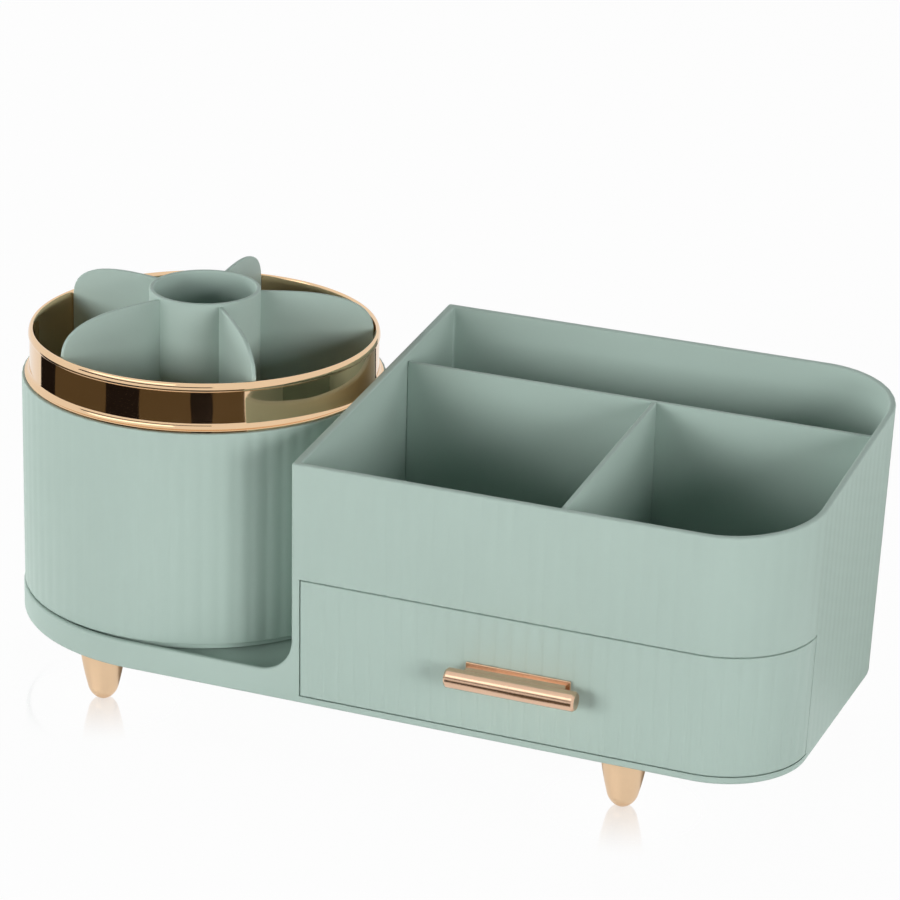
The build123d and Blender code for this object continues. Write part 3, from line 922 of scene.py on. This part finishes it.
def add_lower_housing(shape, outline, columns, pitch):
    """The walls round the drawer's bay: the right side past the drawer, the back and the end."""
    case = sizes("case")
    reeds = sizes("reeds")
    lean = tan(case.lean)
    low, high = plate_z(), tray_z() - case.floor
    plain_foot = 0.1 * MM
    start, stop = mouth_ends(outline)
    walls = [c for c in columns if c[0] > Outline.FRONT and c[2] >= stop - 1e-9]
    walls += [c for c in columns if c[0] <= Outline.FRONT and c[2] <= start + 1e-9]

    def ring(height, outer, reed=0.0):
        """A ring outside or inside. Inside, it stays clear of the drawer's bay at the jamb."""
        place = {"inset": 0.0 if outer else case.wall}
        place["left_inset"] = 0.0 if outer else case.end_wall
        made = ring_of(shape, outline, walls, lambda y: height, reed, pitch, lean, **place)
        for vertex, column in zip(made, walls):
            if column[0] == Outline.FRONT:
                vertex[reed_layers(shape)[0]] = Vector((0, 0, 0))
            if column[0] <= Outline.FRONT and not outer:
                vertex.co.x = min(vertex.co.x, outline.left + case.end_wall)
        return made

    rings = [
        ring(low, True),
        ring(low + plain_foot, True),
        ring(low + reeds.fade, True, 1.0),
        ring(high, True, 1.0),
        ring(high, False),
        ring(low, False),
    ]
    swept_wall(shape, rings)


def base_outline(outline, spacing):
    """The base's outline, anticlockwise from the end wall's front: (point, outward, lean share)."""
    case = sizes("case")
    middle = (outline.front + outline.back) / 2
    radius = case.depth / 2
    round_x = node_box("case_body")[0].x + radius
    sweep_x = outline.left - case.lip_fillet

    def lean_share(x):
        """How far the side leans: not at all at the lip, fully at the housing."""
        return smooth(min(max((x - sweep_x) / case.lip_fillet, 0), 1))

    made = []
    for column in outline.columns(spacing, corners=False):
        point, out = outline.at(column)
        made.append((point, out, 1.0))
    made[0] = (Vector((outline.left, outline.front)), Vector((0, -1)), 1.0)
    made[-1] = (Vector((outline.left, outline.back)), Vector((0, 1)), 1.0)
    steps = ceil((outline.left - round_x) / spacing)
    back = [
        outline.left + (round_x - outline.left) * index / steps for index in range(1, steps + 1)
    ]
    made += [(Vector((x, outline.back)), Vector((0, 1)), lean_share(x)) for x in back]
    arc_steps = ceil(pi * radius / spacing)
    for index in range(1, arc_steps):
        turn = pi / 2 + pi * index / arc_steps
        out = Vector((cos(turn), sin(turn)))
        made.append((Vector((round_x, middle)) + out * radius, out, 0.0))
    front = [round_x + (outline.left - round_x) * index / steps for index in range(steps)]
    made += [(Vector((x, outline.front)), Vector((0, -1)), lean_share(x)) for x in front]
    return made


def add_base_plate(shape, outline):
    """The base plate with its rounded lower edge."""
    case = sizes("case")
    lean = tan(case.lean)
    low, high = base_z(), plate_z()
    edge = case.base_edge
    spacing = 1.5 * MM
    around = base_outline(outline, spacing)

    def ring(inset, height):
        """A ring round the plate, set in from its outside."""
        made = []
        for point, out, share in around:
            place = point - out * inset + out * lean * (height - low) * share
            made.append(shape.verts.new((place.x, place.y, height)))
        return made

    rings = []
    for turn in quarter(4):
        rings.append(ring(edge * (1 - sin(turn)), low + edge * (1 - cos(turn))))
    rings.append(ring(0.0, high))
    basin(shape, rings)


def add_lip(shape, outline):
    """The lip round the cup's well, which sweeps up into the end wall at both its ends."""
    case = sizes("case")
    lean = tan(case.lean)
    low, foot = plate_z(), base_z()
    lip_z = foot + case.lip_height
    edge = case.edge
    sweep = case.lip_fillet
    sweep_x = outline.left - sweep
    spacing, close = 1.0 * MM, 1e-9
    around = [p for p in base_outline(outline, spacing) if p[0].x <= outline.left + close]
    around = around[around.index(next(p for p in around if p[1].y > 0.5)) :] + [around[0]]
    straight = [part for part in around if part[0].x <= sweep_x]
    sweep_steps = 14

    def swept(side):
        """Columns under the sweep: the place on the outline and the turn of the sweep there."""
        y, out = (outline.back, Vector((0, 1))) if side > 0 else (outline.front, Vector((0, -1)))
        made = []
        for turn in quarter(sweep_steps):
            made.append((Vector((sweep_x, y)), out, turn, smooth(sin(turn))))
        return made

    columns = list(reversed(swept(1)))
    columns += [(point, out, 0.0, 0.0) for point, out, _ in straight]
    columns += swept(-1)

    def ring(inset, drop=None):
        """A ring under the lip's top, or at the base plate."""
        made = []
        for point, out, turn, share in columns:
            x, y = point
            if turn:
                x = sweep_x + (sweep + (edge if drop is None else drop)) * sin(turn)
            if drop is None:
                height = low
            elif turn:
                height = lip_z + sweep - (sweep + drop) * cos(turn)
            else:
                height = lip_z - drop
            place = Vector((x, y)) - out * inset
            place += out * lean * (height - foot) * share
            made.append(shape.verts.new((place.x, place.y, height)))
        return made

    rings = [ring(0.0)]
    for turn in quarter(4):
        rings.append(ring(edge * (1 - cos(turn)), edge * (1 - sin(turn))))
    for turn in quarter(4):
        inset = case.wall - edge + edge * sin(turn)
        rings.append(ring(inset, edge * (1 - cos(turn))))
    rings.append(ring(case.wall))
    swept_wall(shape, rings)


class ORGANIZER_OT_case(bpy.types.Operator):
    """Moulds the case: base, lip, drawer bay and tray in one piece"""

    bl_idname = "organizer.case"
    bl_label = "Case"

    def execute(self, context):
        outline = housing()
        pitch = reed_pitch(outline)
        spacing = pitch / sizes("reeds").steps
        support = 0.06 * MM  # a column close to the left corners keeps their shading crisp
        exact = [*mouth_ends(outline), support, outline.reach - support]
        columns = outline.columns(spacing, exact)
        shape = bmesh.new()
        reed_layers(shape)
        add_tray(shape, outline, columns, pitch)
        add_lower_housing(shape, outline, columns, pitch)
        add_base_plate(shape, outline)
        add_lip(shape, outline)
        piece = to_object("case_moulding", shape, "sage_satin")
        reeded(piece)
        hand_over(piece, CASE, "sage_plastic", "case_body")
        return {"FINISHED"}


class ORGANIZER_OT_tray_dividers(bpy.types.Operator):
    """Cuts the two dividers of the tray, with eased edges"""

    bl_idname = "organizer.tray_dividers"
    bl_label = "Tray dividers"

    def execute(self, context):
        case = sizes("case")
        lean = tan(case.lean)
        edge, rim_clear = 0.55 * MM, 0.4 * MM
        low, high = node_box("cross_divider")
        y = (low.y + high.y) / 2
        rise = high.z - low.z
        shape = bmesh.new()
        outline = [
            (low.x, y, low.z), (high.x - lean * rise, y, low.z), (high.x, y, high.z),
            (low.x, y, high.z),
        ]
        edged_prism(shape, outline, (0, 1, 0), high.y - low.y, edge)
        piece = to_object("cross_divider_panel", shape, "sage_satin")
        hand_over(piece, CASE, "sage_plastic", "cross_divider")

        low, high = node_box("front_divider")
        x = (low.x + high.x) / 2
        front_z = low.z + case.tray_depth - rim_clear
        outline = [
            (x, low.y + lean * (front_z - low.z), low.z), (x, high.y, low.z), (x, high.y, high.z),
            (x, low.y, front_z),
        ]
        shape = bmesh.new()
        edged_prism(shape, outline, (1, 0, 0), high.x - low.x, edge)
        piece = to_object("front_divider_panel", shape, "sage_satin")
        hand_over(piece, CASE, "sage_plastic", "front_divider")
        return {"FINISHED"}


class ORGANIZER_OT_feet(bpy.types.Operator):
    """Turns the four tapered feet with domed tips"""

    bl_idname = "organizer.feet"
    bl_label = "Feet"

    def execute(self, context):
        feet = sizes("feet")
        for node in ("front_left", "front_right", "back_left", "back_right"):
            low, high = node_box("foot_" + node)
            radius, top, edge = (high.x - low.x) / 2, high.z - low.z, feet.edge
            middle = middle_of(low, high)
            centre = Vector((middle.x, middle.y, low.z))
            shoulder = (feet.shoulder, feet.shoulder_height)
            tip = arc((feet.tip, 0.0), (feet.bulge, feet.bulge_height), shoulder, 10)
            side = arc(shoulder, (feet.waist, feet.waist_height), (radius - edge, top - edge), 10)
            profile = [(0.0, 0.0), *tip, *side[1:], (radius - edge, top), (0.0, top)]
            shape = bmesh.new()
            turned(shape, profile, centre, 72)
            piece = to_object("foot_" + node + "_turned", shape, "champagne_satin")
            hand_over(piece, CASE, "champagne_feet", "foot_" + node)
        return {"FINISHED"}


# ---------------------------------------------------------------- turning cup
def shell_radius():
    """The cup's shell outside, over the reeds."""
    low, high = node_box("cup_shell")
    return (high.x - low.x) / 2


class ORGANIZER_OT_cup_shell(bpy.types.Operator):
    """Moulds the cup's reeded shell"""

    bl_idname = "organizer.cup_shell"
    bl_label = "Cup shell"

    def execute(self, context):
        cup, reeds = sizes("cup"), sizes("reeds")
        low, high = node_box("cup_shell")
        radius = shell_radius()
        edge = cup.edge
        corners = [
            (radius, low.z, edge), (radius, high.z, edge),
            (radius - cup.wall, high.z, edge / 2), (radius - cup.wall, low.z, edge / 2),
        ]
        shape = bmesh.new()
        outer = (radius - edge, radius, reeds.cup_count)
        turned(shape, rounded(corners), cup_axis(), reeds.cup_count * reeds.steps, outer)
        piece = to_object("cup_shell_reeded", shape, "sage_satin")
        reeded(piece)
        hand_over(piece, CUP, "sage_plastic", "cup_shell")
        return {"FINISHED"}


class ORGANIZER_OT_cup_ring(bpy.types.Operator):
    """Plates the ring round the cup's mouth"""

    bl_idname = "organizer.cup_ring"
    bl_label = "Cup ring"

    def execute(self, context):
        low, high = node_box("cup_ring")
        shell_top = node_box("cup_shell")[1].z
        flange = (high.x - low.x) / 2
        band_inset, inner_inset, slack = 1.8 * MM, 3.8 * MM, 0.05 * MM
        low_edge, high_edge, flange_height = 0.25 * MM, 0.2 * MM, 0.9 * MM
        cove, roll, bead, bead_foot = 2.1 * MM, 2.6 * MM, 0.35 * MM, 0.5 * MM
        band, inner = flange - band_inset, flange - inner_inset
        sleeve = shell_radius() - sizes("cup").wall - slack
        flange_top = shell_top + flange_height
        profile = [(inner, low.z), (sleeve, low.z), (sleeve, shell_top)]
        profile += [(flange - low_edge, shell_top), (flange, shell_top + low_edge)]
        profile += [(flange, flange_top - high_edge), (flange - high_edge, flange_top)]
        for turn in quarter(8)[1:]:
            across = (flange - high_edge - band) * (1 - sin(turn))
            profile.append((band + across, flange_top + cove * (1 - cos(turn))))
        roll_z = high.z - roll
        profile += [(band, roll_z - bead_foot), (band + bead * 0.5, roll_z - bead_foot * 0.6)]
        middle, half = (band + bead + inner) / 2, (band + bead - inner) / 2
        for step in range(13):
            turn = pi * step / 12
            profile.append((middle + half * cos(turn), roll_z + roll * sin(turn)))
        shape = bmesh.new()
        turned(shape, profile, cup_axis(), 288)
        piece = to_object("cup_ring_plated", shape, "rose_gold_mirror")
        hand_over(piece, CUP, "rose_gold_plated_plastic", "cup_ring")
        return {"FINISHED"}


class ORGANIZER_OT_cup_insert(bpy.types.Operator):
    """Moulds the brush tube and the radial dividers inside the cup"""

    bl_idname = "organizer.cup_insert"
    bl_label = "Cup insert"

    def execute(self, context):
        cup = sizes("cup")
        axis = cup_axis()
        low, high = node_box("brush_tube")
        radius = (high.x - low.x) / 2
        bore = radius - cup.tube_wall
        tube_edge, tube_cove = 0.6 * MM, 2.5 * MM
        tube_floor = low.z + cup.tube_floor
        corners = [
            (0.0, low.z, 0.0), (radius, low.z, tube_edge), (radius, high.z, tube_edge),
            (bore, high.z, tube_edge), (bore, tube_floor, tube_cove), (0.0, tube_floor, 0.0),
        ]
        shape = bmesh.new()
        turned(shape, rounded(corners), axis, 96)
        piece = to_object("brush_tube_moulded", shape, "sage_satin")
        hand_over(piece, CUP, "sage_plastic", "brush_tube")

        into_tube, ring_clear, panel_edge = 0.3 * MM, 4.0 * MM, 0.5 * MM
        foot = node_box("radial_dividers")[0].z
        ring_low, ring_high = node_box("cup_ring")
        inner = radius - into_tube
        outer = (ring_high.x - ring_low.x) / 2 - ring_clear
        top = high.z - cup.panel_rim_drop
        outline = []
        for turn in quarter(16):
            run = (outer - inner) * sin(turn) ** (2 / cup.panel_power)
            rise = cup.panel_drop * abs(cos(turn)) ** (2 / cup.panel_power)
            outline.append((inner + run, 0, top - cup.panel_drop + rise))
        outline += [(outer, 0, foot), (inner, 0, foot)]
        shape = bmesh.new()
        edged_prism(shape, outline, (0, 1, 0), cup.panel, panel_edge)
        piece = to_object("radial_dividers_panels", shape, "sage_satin")
        values = {"Axis": axis, "Count": cup.panel_count, "Start": cup.panel_start}
        grown(piece, panel_fan_tree(), values, "sage_satin")
        hand_over(piece, CUP, "sage_plastic", "radial_dividers")
        return {"FINISHED"}


# ---------------------------------------------------------------- drawer
class ORGANIZER_OT_drawer_front(bpy.types.Operator):
    """Moulds the drawer's front, which wraps round the case's corner"""

    bl_idname = "organizer.drawer_front"
    bl_label = "Drawer front"

    def execute(self, context):
        case, drawer, reeds = sizes("case"), sizes("drawer"), sizes("reeds")
        outline = housing()
        pitch = reed_pitch(outline)
        low, high = node_box("drawer_front")
        start = low.x - outline.left - outline.left_corner
        stop = outline.spans[0] + outline.spans[1]
        edge = case.seam_edge
        inside = (start + edge * 0.3, start + edge, stop - edge, stop - edge * 0.3)
        spacing = pitch / reeds.steps
        columns = outline.columns(spacing, inside, start=start, stop=stop, corners=False)
        shape = bmesh.new()
        lean = tan(case.lean)

        def ring(inset, height, reed):
            """A ring along the front and round the corner, set in from the outside."""
            place = {"inset": inset, "left_inset": 0.0}
            return ring_of(shape, outline, columns, lambda y: height, reed, pitch, lean, **place)

        corners = [
            (0.0, low.z, edge), (0.0, high.z, edge * 1.6), (drawer.front, high.z, edge),
            (drawer.front, low.z, edge),
        ]
        section = rounded(corners)
        rings = [ring(inset, height, 1.0 if inset < 1e-6 else 0.0) for inset, height in section]
        for index, vertex_pair in enumerate(zip(*rings)):
            column = columns[index]
            near = min(column[2] - start, stop - column[2])
            if near < edge:
                _, way = outline.at(column)
                fall = edge - (edge * edge - (edge - near) ** 2) ** 0.5
                for vertex, (inset, _) in zip(vertex_pair, section):
                    side = 1 if inset < drawer.front / 2 else -1
                    vertex.co -= Vector((way.x, way.y, 0)) * fall * side
        swept_wall(shape, rings)
        piece = to_object("drawer_front_reeded", shape, "sage_satin")
        reeded(piece)
        hand_over(piece, DRAWER, "sage_plastic", "drawer_front")
        return {"FINISHED"}


class ORGANIZER_OT_drawer_box(bpy.types.Operator):
    """Moulds the drawer's box with its rounded rim, coved floor and stop tabs"""

    bl_idname = "organizer.drawer_box"
    bl_label = "Drawer box"

    def execute(self, context):
        drawer = sizes("drawer")
        low, high = node_box("drawer_box")
        tab_rise, tab_width, tab_inset, tab_edge = 2.0 * MM, 12 * MM, 28 * MM, 0.3 * MM
        top = high.z - tab_rise
        corner = sizes("case").corner - drawer.front - SEAM
        left_corner, spacing = 1.5 * MM, 2.5 * MM
        outline = Outline(low.x, high.x, low.y, high.y, corner, left_corner)
        columns = outline.columns(spacing)
        shape = bmesh.new()
        edge, cove = 0.7 * MM, 2.5 * MM
        turns = quarter(3)
        section = [(edge * (1 - sin(t)), low.z + edge * (1 - cos(t))) for t in turns]
        section += [(edge * (1 - cos(t)), top - edge * (1 - sin(t))) for t in turns]
        inner = drawer.wall - edge
        section += [(inner + edge * sin(t), top - edge * (1 - cos(t))) for t in turns]
        for turn in quarter(4):
            height = low.z + drawer.wall + cove * (1 - sin(turn))
            section.append((drawer.wall + cove * (1 - cos(turn)), height))
        rings = [
            ring_of(shape, outline, columns, lambda y, h=height: h, inset=inset)
            for inset, height in section
        ]
        basin(shape, rings)
        y = high.y - drawer.wall / 2
        z = (top - edge + high.z) / 2
        for x in (low.x + tab_inset, housing().right - sizes("case").corner - tab_inset):
            tab = upright(Vector((x, y, z)), y, tab_width, high.z - top + edge)
            edged_prism(shape, tab, (0, 1, 0), drawer.wall, tab_edge)
        piece = to_object("drawer_box_moulded", shape, "sage_satin")
        hand_over(piece, DRAWER, "sage_plastic", "drawer_box")
        return {"FINISHED"}


class ORGANIZER_OT_handle(bpy.types.Operator):
    """Turns the handle's bar and joins it to its web and plate"""

    bl_idname = "organizer.handle"
    bl_label = "Handle"

    def execute(self, context):
        drawer = sizes("drawer")
        low, high = node_box("drawer_handle")
        radius = drawer.bar_radius
        middle = Vector(((low.x + high.x) / 2, low.y + radius, (low.z + high.z) / 2))
        half = (high.x - low.x) / 2
        chamfer, blend = drawer.chamfer, 0.15 * MM
        corners = [(radius - chamfer, half), (radius - blend, half - chamfer)]
        corners.append((radius, half - 1.3 * chamfer))
        profile = [(0.0, -half), *((across, -along) for across, along in corners)]
        profile += [*reversed(corners), (0.0, half)]
        shape = bmesh.new()
        turned(shape, profile, Vector((0, 0, 0)), 64)
        place = Matrix.Translation(middle) @ Matrix.Rotation(pi / 2, 4, "Y")
        bmesh.ops.transform(shape, matrix=place, verts=shape.verts)
        plate_front = high.y - drawer.plate
        web_y = (middle.y + plate_front) / 2
        web = upright(middle, web_y, drawer.web_length, drawer.web_height)
        overlap, web_edge, plate_edge = 0.4 * MM, 0.35 * MM, 0.3 * MM
        edged_prism(shape, web, (0, 1, 0), plate_front - middle.y + overlap, web_edge)
        plate_y = (plate_front + high.y) / 2
        plate = upright(middle, plate_y, drawer.plate_length, high.z - low.z)
        edged_prism(shape, plate, (0, 1, 0), drawer.plate, plate_edge)
        piece = to_object("drawer_handle_plated", shape, "rose_gold_bar")
        hand_over(piece, DRAWER, "rose_gold_metal", "drawer_handle")
        return {"FINISHED"}


# ---------------------------------------------------------------- pieces kept from the frame
class ORGANIZER_OT_kept(bpy.types.Operator):
    """Finishes the turntable and the screws, whose frame shapes are kept"""

    bl_idname = "organizer.kept"
    bl_label = "Turntable and screws"

    def execute(self, context):
        finishes = {
            "bearing_deck": "sage_satin", "cup_base": "sage_satin", "glide_ring": "acetal_white",
            "pivot_washer": "zinc_bright", "pivot_screw": "zinc_bright",
            "foot_screws": "zinc_bright", "handle_screws": "zinc_bright",
            "front_screws": "zinc_bright",
        }
        for node, finish in finishes.items():
            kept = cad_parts[node]
            kept.data.materials.clear()
            kept.data.materials.append(finish_of(finish))
        return {"FINISHED"}


# ---------------------------------------------------------------- stage
CAMERA_PLACE = Vector((437.58, -1094.54, 549.94)) * MM
CAMERA_TURN = radians(21.4286)
CAMERA_DIP = radians(21.0563)
CAMERA_ROLL = radians(1.6602)
CAMERA_LENS = 142.448
SENSOR = 36.0
LIGHT_AIM = Vector((0, 0, 60)) * MM


def add_camera():
    """The camera at the photograph's viewpoint."""
    ahead = Vector((
        -sin(CAMERA_TURN) * cos(CAMERA_DIP), cos(CAMERA_TURN) * cos(CAMERA_DIP), -sin(CAMERA_DIP)
    ))
    right = Vector((cos(CAMERA_TURN), sin(CAMERA_TURN), 0))
    up = right.cross(ahead)
    tilted_right = right * cos(CAMERA_ROLL) + up * sin(CAMERA_ROLL)
    tilted_up = up * cos(CAMERA_ROLL) - right * sin(CAMERA_ROLL)
    data = bpy.data.cameras.new("camera")
    data.lens = CAMERA_LENS
    data.sensor_width = SENSOR
    data.sensor_fit = "HORIZONTAL"
    data.clip_start = 0.05
    data.clip_end = 20
    camera = bpy.data.objects.new("camera", data)
    turn = Matrix((tilted_right, tilted_up, -ahead)).transposed()
    camera.matrix_world = Matrix.Translation(CAMERA_PLACE) @ turn.to_4x4()
    bpy.context.scene.collection.objects.link(camera)
    bpy.context.scene.camera = camera


def add_softbox(name, azimuth, elevation, away, width, height, share):
    """A rectangular soft light aimed at the object, at a compass turn and a climb in degrees.

    A share of 1 lights a facing surface so that its colour shows as it is written.
    """
    turn, climb = radians(azimuth), radians(elevation)
    way = Vector((cos(turn) * cos(climb), sin(turn) * cos(climb), sin(climb)))
    data = bpy.data.lights.new(name, "AREA")
    data.shape = "RECTANGLE"
    data.size = width
    data.size_y = height
    data.energy = share * (pi * away) ** 2
    light = bpy.data.objects.new(name, data)
    light.location = LIGHT_AIM + way * away
    light.rotation_euler = way.to_track_quat("Z", "Y").to_euler()
    light.visible_glossy = False
    bpy.context.scene.collection.objects.link(light)


FEET = ("front_left", "front_right", "back_left", "back_right")
WHITE = (1, 1, 1)


def lens_share(shader):
    """One for rays from the camera, from mirrors and through clear things, else none."""
    rays = ("Is Camera Ray", "Is Glossy Ray", "Is Transmission Ray")
    seen, glossy, through = (shader.node("ShaderNodeLightPath", output=ray) for ray in rays)
    return seen.math("MAXIMUM", seen.math("MAXIMUM", seen, glossy), through)


def reflection_share(shader, foot, place):
    """How far the floor mirrors round a foot: less and less with the distance from it."""
    stage = sizes("stage")
    middle = middle_of(*node_box("foot_" + foot))
    inputs = {0: place, 1: (middle.x, middle.y, 0)}
    away = shader.node("ShaderNodeVectorMath", {"operation": "DISTANCE"}, inputs, output="Value")
    inputs = {
        "Value": away, "From Min": 0.0, "From Max": stage.reflection_reach,
        "To Min": stage.reflection, "To Max": 0.0,
    }
    return shader.node("ShaderNodeMapRange", {"interpolation_type": "SMOOTHSTEP"}, inputs)


def floor_material():
    """A matt floor that lenses see as white, with a blurred reflection of each foot."""
    stage = sizes("stage")
    material, shader = new_material("floor_white")
    pale = opaque(stage.floor)
    matt = shader.node("ShaderNodeBsdfDiffuse", None, {"Color": pale})
    glow = shader.node("ShaderNodeEmission", None, {"Color": (1, 1, 1, 1), "Strength": 1.0})
    share = lens_share(shader) * (1 - stage.shadow)
    white = shader.node("ShaderNodeMixShader", None, {0: share, 1: matt, 2: glow})
    place = shader.place()
    shares = [reflection_share(shader, foot, place) for foot in FEET]
    near = shares[0]
    for other in shares[1:]:
        near = near.math("MAXIMUM", near, other)
    sheen = shader.node(
        "ShaderNodeBsdfGlossy", None, {"Color": (1, 1, 1, 1), "Roughness": stage.reflection_blur}
    )
    shader.finish(shader.node("ShaderNodeMixShader", None, {0: near, 1: white, 2: sheen}))
    return material


def add_floor():
    """A wide square floor."""
    half = 6.0
    shape = bmesh.new()
    corners = [(-half, -half, 0), (half, -half, 0), (half, half, 0), (-half, half, 0)]
    shape.faces.new([shape.verts.new(corner) for corner in corners])
    plain_object("floor", shape, floor_material())


def add_world():
    """Light that fades towards the top, while lenses see plain white."""
    stage = sizes("stage")
    world = bpy.data.worlds.new("studio")
    bpy.context.scene.world = world
    shader = Shader(world, "ShaderNodeOutputWorld")
    way = shader.node("ShaderNodeTexCoord", output="Generated")
    climb = shader.node("ShaderNodeSeparateXYZ", None, {0: way}, output="Z")
    faded = 0.7
    inputs = {"Value": climb.math("ABSOLUTE", climb), "From Min": 0.0, "From Max": faded}
    fade = shader.node("ShaderNodeMapRange", None, inputs)
    tint = (0.97, 0.985, 1.0, 1)
    inputs = {"Color": tint, "Strength": stage.ambient}
    horizon = shader.node("ShaderNodeBackground", None, inputs)
    inputs = {"Color": tint, "Strength": stage.ambient * stage.zenith}
    zenith = shader.node("ShaderNodeBackground", None, inputs)
    ambient = shader.node("ShaderNodeMixShader", None, {0: fade, 1: horizon, 2: zenith})
    backdrop = shader.node("ShaderNodeBackground", None, {"Color": (1, 1, 1, 1), "Strength": 1.0})
    inputs = {0: lens_share(shader), 1: ambient, 2: backdrop}
    shader.finish(shader.node("ShaderNodeMixShader", None, inputs))


def add_card(name, rows, shade, strength=1.0):
    """A card between two rows of points. Only mirrors see it."""
    shape = bmesh.new()
    low, high = ([shape.verts.new(point) for point in row] for row in rows)
    for index in range(len(low) - 1):
        shape.faces.new((low[index], low[index + 1], high[index + 1], high[index]))
    material, shader = new_material(name)
    inputs = {"Color": opaque(shade), "Strength": strength}
    shader.finish(shader.node("ShaderNodeEmission", None, inputs))
    card = plain_object(name, shape, material)
    for ray in ("camera", "diffuse", "transmission", "volume_scatter", "shadow"):
        setattr(card, "visible_" + ray, False)


def arc_row(start, stop, radius, height):
    """Points round the cup's axis, from one angle to another."""
    axis = cup_axis()
    steps = ceil((stop - start) / 4)
    turns = [radians(start + (stop - start) * step / steps) for step in range(steps + 1)]
    return [(axis.x + radius * cos(turn), axis.y + radius * sin(turn), height) for turn in turns]


def add_floor_card(name, rows_at, shade):
    """A card just over the floor. The wider white lining under it hides it from the floor."""
    lift, gap, hem = 1 * MM, 0.05 * MM, 1 * MM
    add_card(name, rows_at(0.0, lift), shade)
    add_card(name + "_lining", rows_at(hem, lift - gap), WHITE)


def add_metal_cards():
    """The dark and light shapes that the metals reflect."""
    stage = sizes("stage")
    near, far, wall = stage.card_near, stage.card_far, stage.card_wall
    brown, black = stage.card_brown, stage.card_black
    for index, (start, stop, shade) in enumerate((
        (-190, -170, black), (-170, -126, brown), (-126, -104, black), (-104, -73, brown),
        (-73, -60, black), (-60, -40, brown), (12, 40, brown), (40, 80, black),
    )):
        def sector(hem, height, start=start, stop=stop):
            """The card's near and far rows, or those of its lining, which is a hem wider."""
            turn = degrees(hem / near)
            return [
                arc_row(start - turn, stop + turn, radius, height)
                for radius in (near - hem, far + hem)
            ]

        add_floor_card(f"card_{index}", sector, shade)
    rows = [arc_row(-150, -60, wall, wall * tan(radians(climb))) for climb in stage.card_dark]
    add_card("card_dark", rows, black)
    rows = [arc_row(-150, -85, wall, wall * tan(radians(climb))) for climb in stage.card_light]
    add_card("card_light", rows, (1, 0.98, 0.95), stage.card_shine)


def add_cards_under():
    """Painted shade and painted light for reflections: a dark card on the floor stands in for the
    shade under the body for the feet to reflect, and a white card under the base is what the floor
    mirrors in place of the base's shaded underside.
    """
    stage = sizes("stage")

    def under(hem, height):
        """The card's front and back rows, or those of its lining, which is a hem wider."""
        inset = stage.card_inset - hem
        return [
            ((cad_low.x + inset, y, height), (cad_high.x - inset, y, height))
            for y in (cad_low.y + inset, cad_high.y - inset)
        ]

    # Painted shade: this dark card stands in for the shaded floor under the body in the feet's
    # reflections.
    add_floor_card("card_under", under, stage.card_under)
    # Painted light: a glowing white card just under the base, so that the floor's mirror shows white
    # where the base's shaded underside would be.
    spacing, inset, gap = 4 * MM, 1.5 * MM, 0.2 * MM
    height = base_z() - gap
    rim = [(*(point - out * inset), height) for point, out, _ in base_outline(housing(), spacing)]
    rim.append(rim[0])
    centre = ((cad_low.x + cad_high.x) / 2, (cad_low.y + cad_high.y) / 2, height)
    add_card("card_base", (rim, [centre] * len(rim)), WHITE)


class ORGANIZER_OT_stage(bpy.types.Operator):
    """Sets up the floor, the lights and the camera"""

    bl_idname = "organizer.stage"
    bl_label = "Stage"

    def execute(self, context):
        stage = sizes("stage")
        context.scene.view_settings.view_transform = "Standard"
        add_camera()
        add_floor()
        add_world()
        add_metal_cards()
        add_cards_under()
        # name, compass turn, climb, distance, width, height, share of full light
        for softbox in (
            ("key_front", -118, 12, 2.2, 1.3, 0.7, stage.key),
            ("key_left", 172, 12, 2.2, 0.7, 0.5, stage.side),
            ("fill_right", -33, 12, 2.2, 0.8, 0.7, stage.fill),
            ("edge_right", 20, 12, 2.2, 0.7, 0.5, stage.edge),
            ("top", 100, 55, 1.8, 1.2, 0.8, stage.top),
        ):
            add_softbox(*softbox)
        return {"FINISHED"}


# ---------------------------------------------------------------- add-on
OPERATORS = (
    ORGANIZER_OT_case,
    ORGANIZER_OT_tray_dividers,
    ORGANIZER_OT_feet,
    ORGANIZER_OT_cup_shell,
    ORGANIZER_OT_cup_ring,
    ORGANIZER_OT_cup_insert,
    ORGANIZER_OT_drawer_front,
    ORGANIZER_OT_drawer_box,
    ORGANIZER_OT_handle,
    ORGANIZER_OT_kept,
    ORGANIZER_OT_stage,
)
GROUPS = {
    "case": CaseSizes,
    "feet": FootSizes,
    "reeds": ReedSizes,
    "cup": CupSizes,
    "drawer": DrawerSizes,
    "colours": Colours,
    "stage": StageSizes,
}


class ORGANIZER_PT_panel(bpy.types.Panel):
    """Lists the organizer's pieces in the sidebar"""

    bl_idname = "ORGANIZER_PT_panel"
    bl_label = "Makeup organizer"
    bl_space_type = "VIEW_3D"
    bl_region_type = "UI"
    bl_category = "Organizer"

    def draw(self, context):
        for operator in OPERATORS:
            self.layout.operator(operator.bl_idname)


def register():
    """Registers the groups of sizes, the operators and the panel."""
    for group in GROUPS.values():
        bpy.utils.register_class(group)
    for name, group in GROUPS.items():
        pointer = bpy.props.PointerProperty(type=group)
        setattr(bpy.types.Scene, "organizer_" + name, pointer)
    for operator in OPERATORS:
        bpy.utils.register_class(operator)
    bpy.utils.register_class(ORGANIZER_PT_panel)


def unregister():
    """Takes back what register has done."""
    bpy.utils.unregister_class(ORGANIZER_PT_panel)
    for operator in reversed(OPERATORS):
        bpy.utils.unregister_class(operator)
    for name, group in reversed(GROUPS.items()):
        delattr(bpy.types.Scene, "organizer_" + name)
        bpy.utils.unregister_class(group)


def main():
    """Registers the add-on, then makes every piece and the stage."""
    register()
    for operator in OPERATORS:
        family, name = operator.bl_idname.split(".")
        getattr(getattr(bpy.ops, family), name)()


if __name__ == "__main__":
    main()
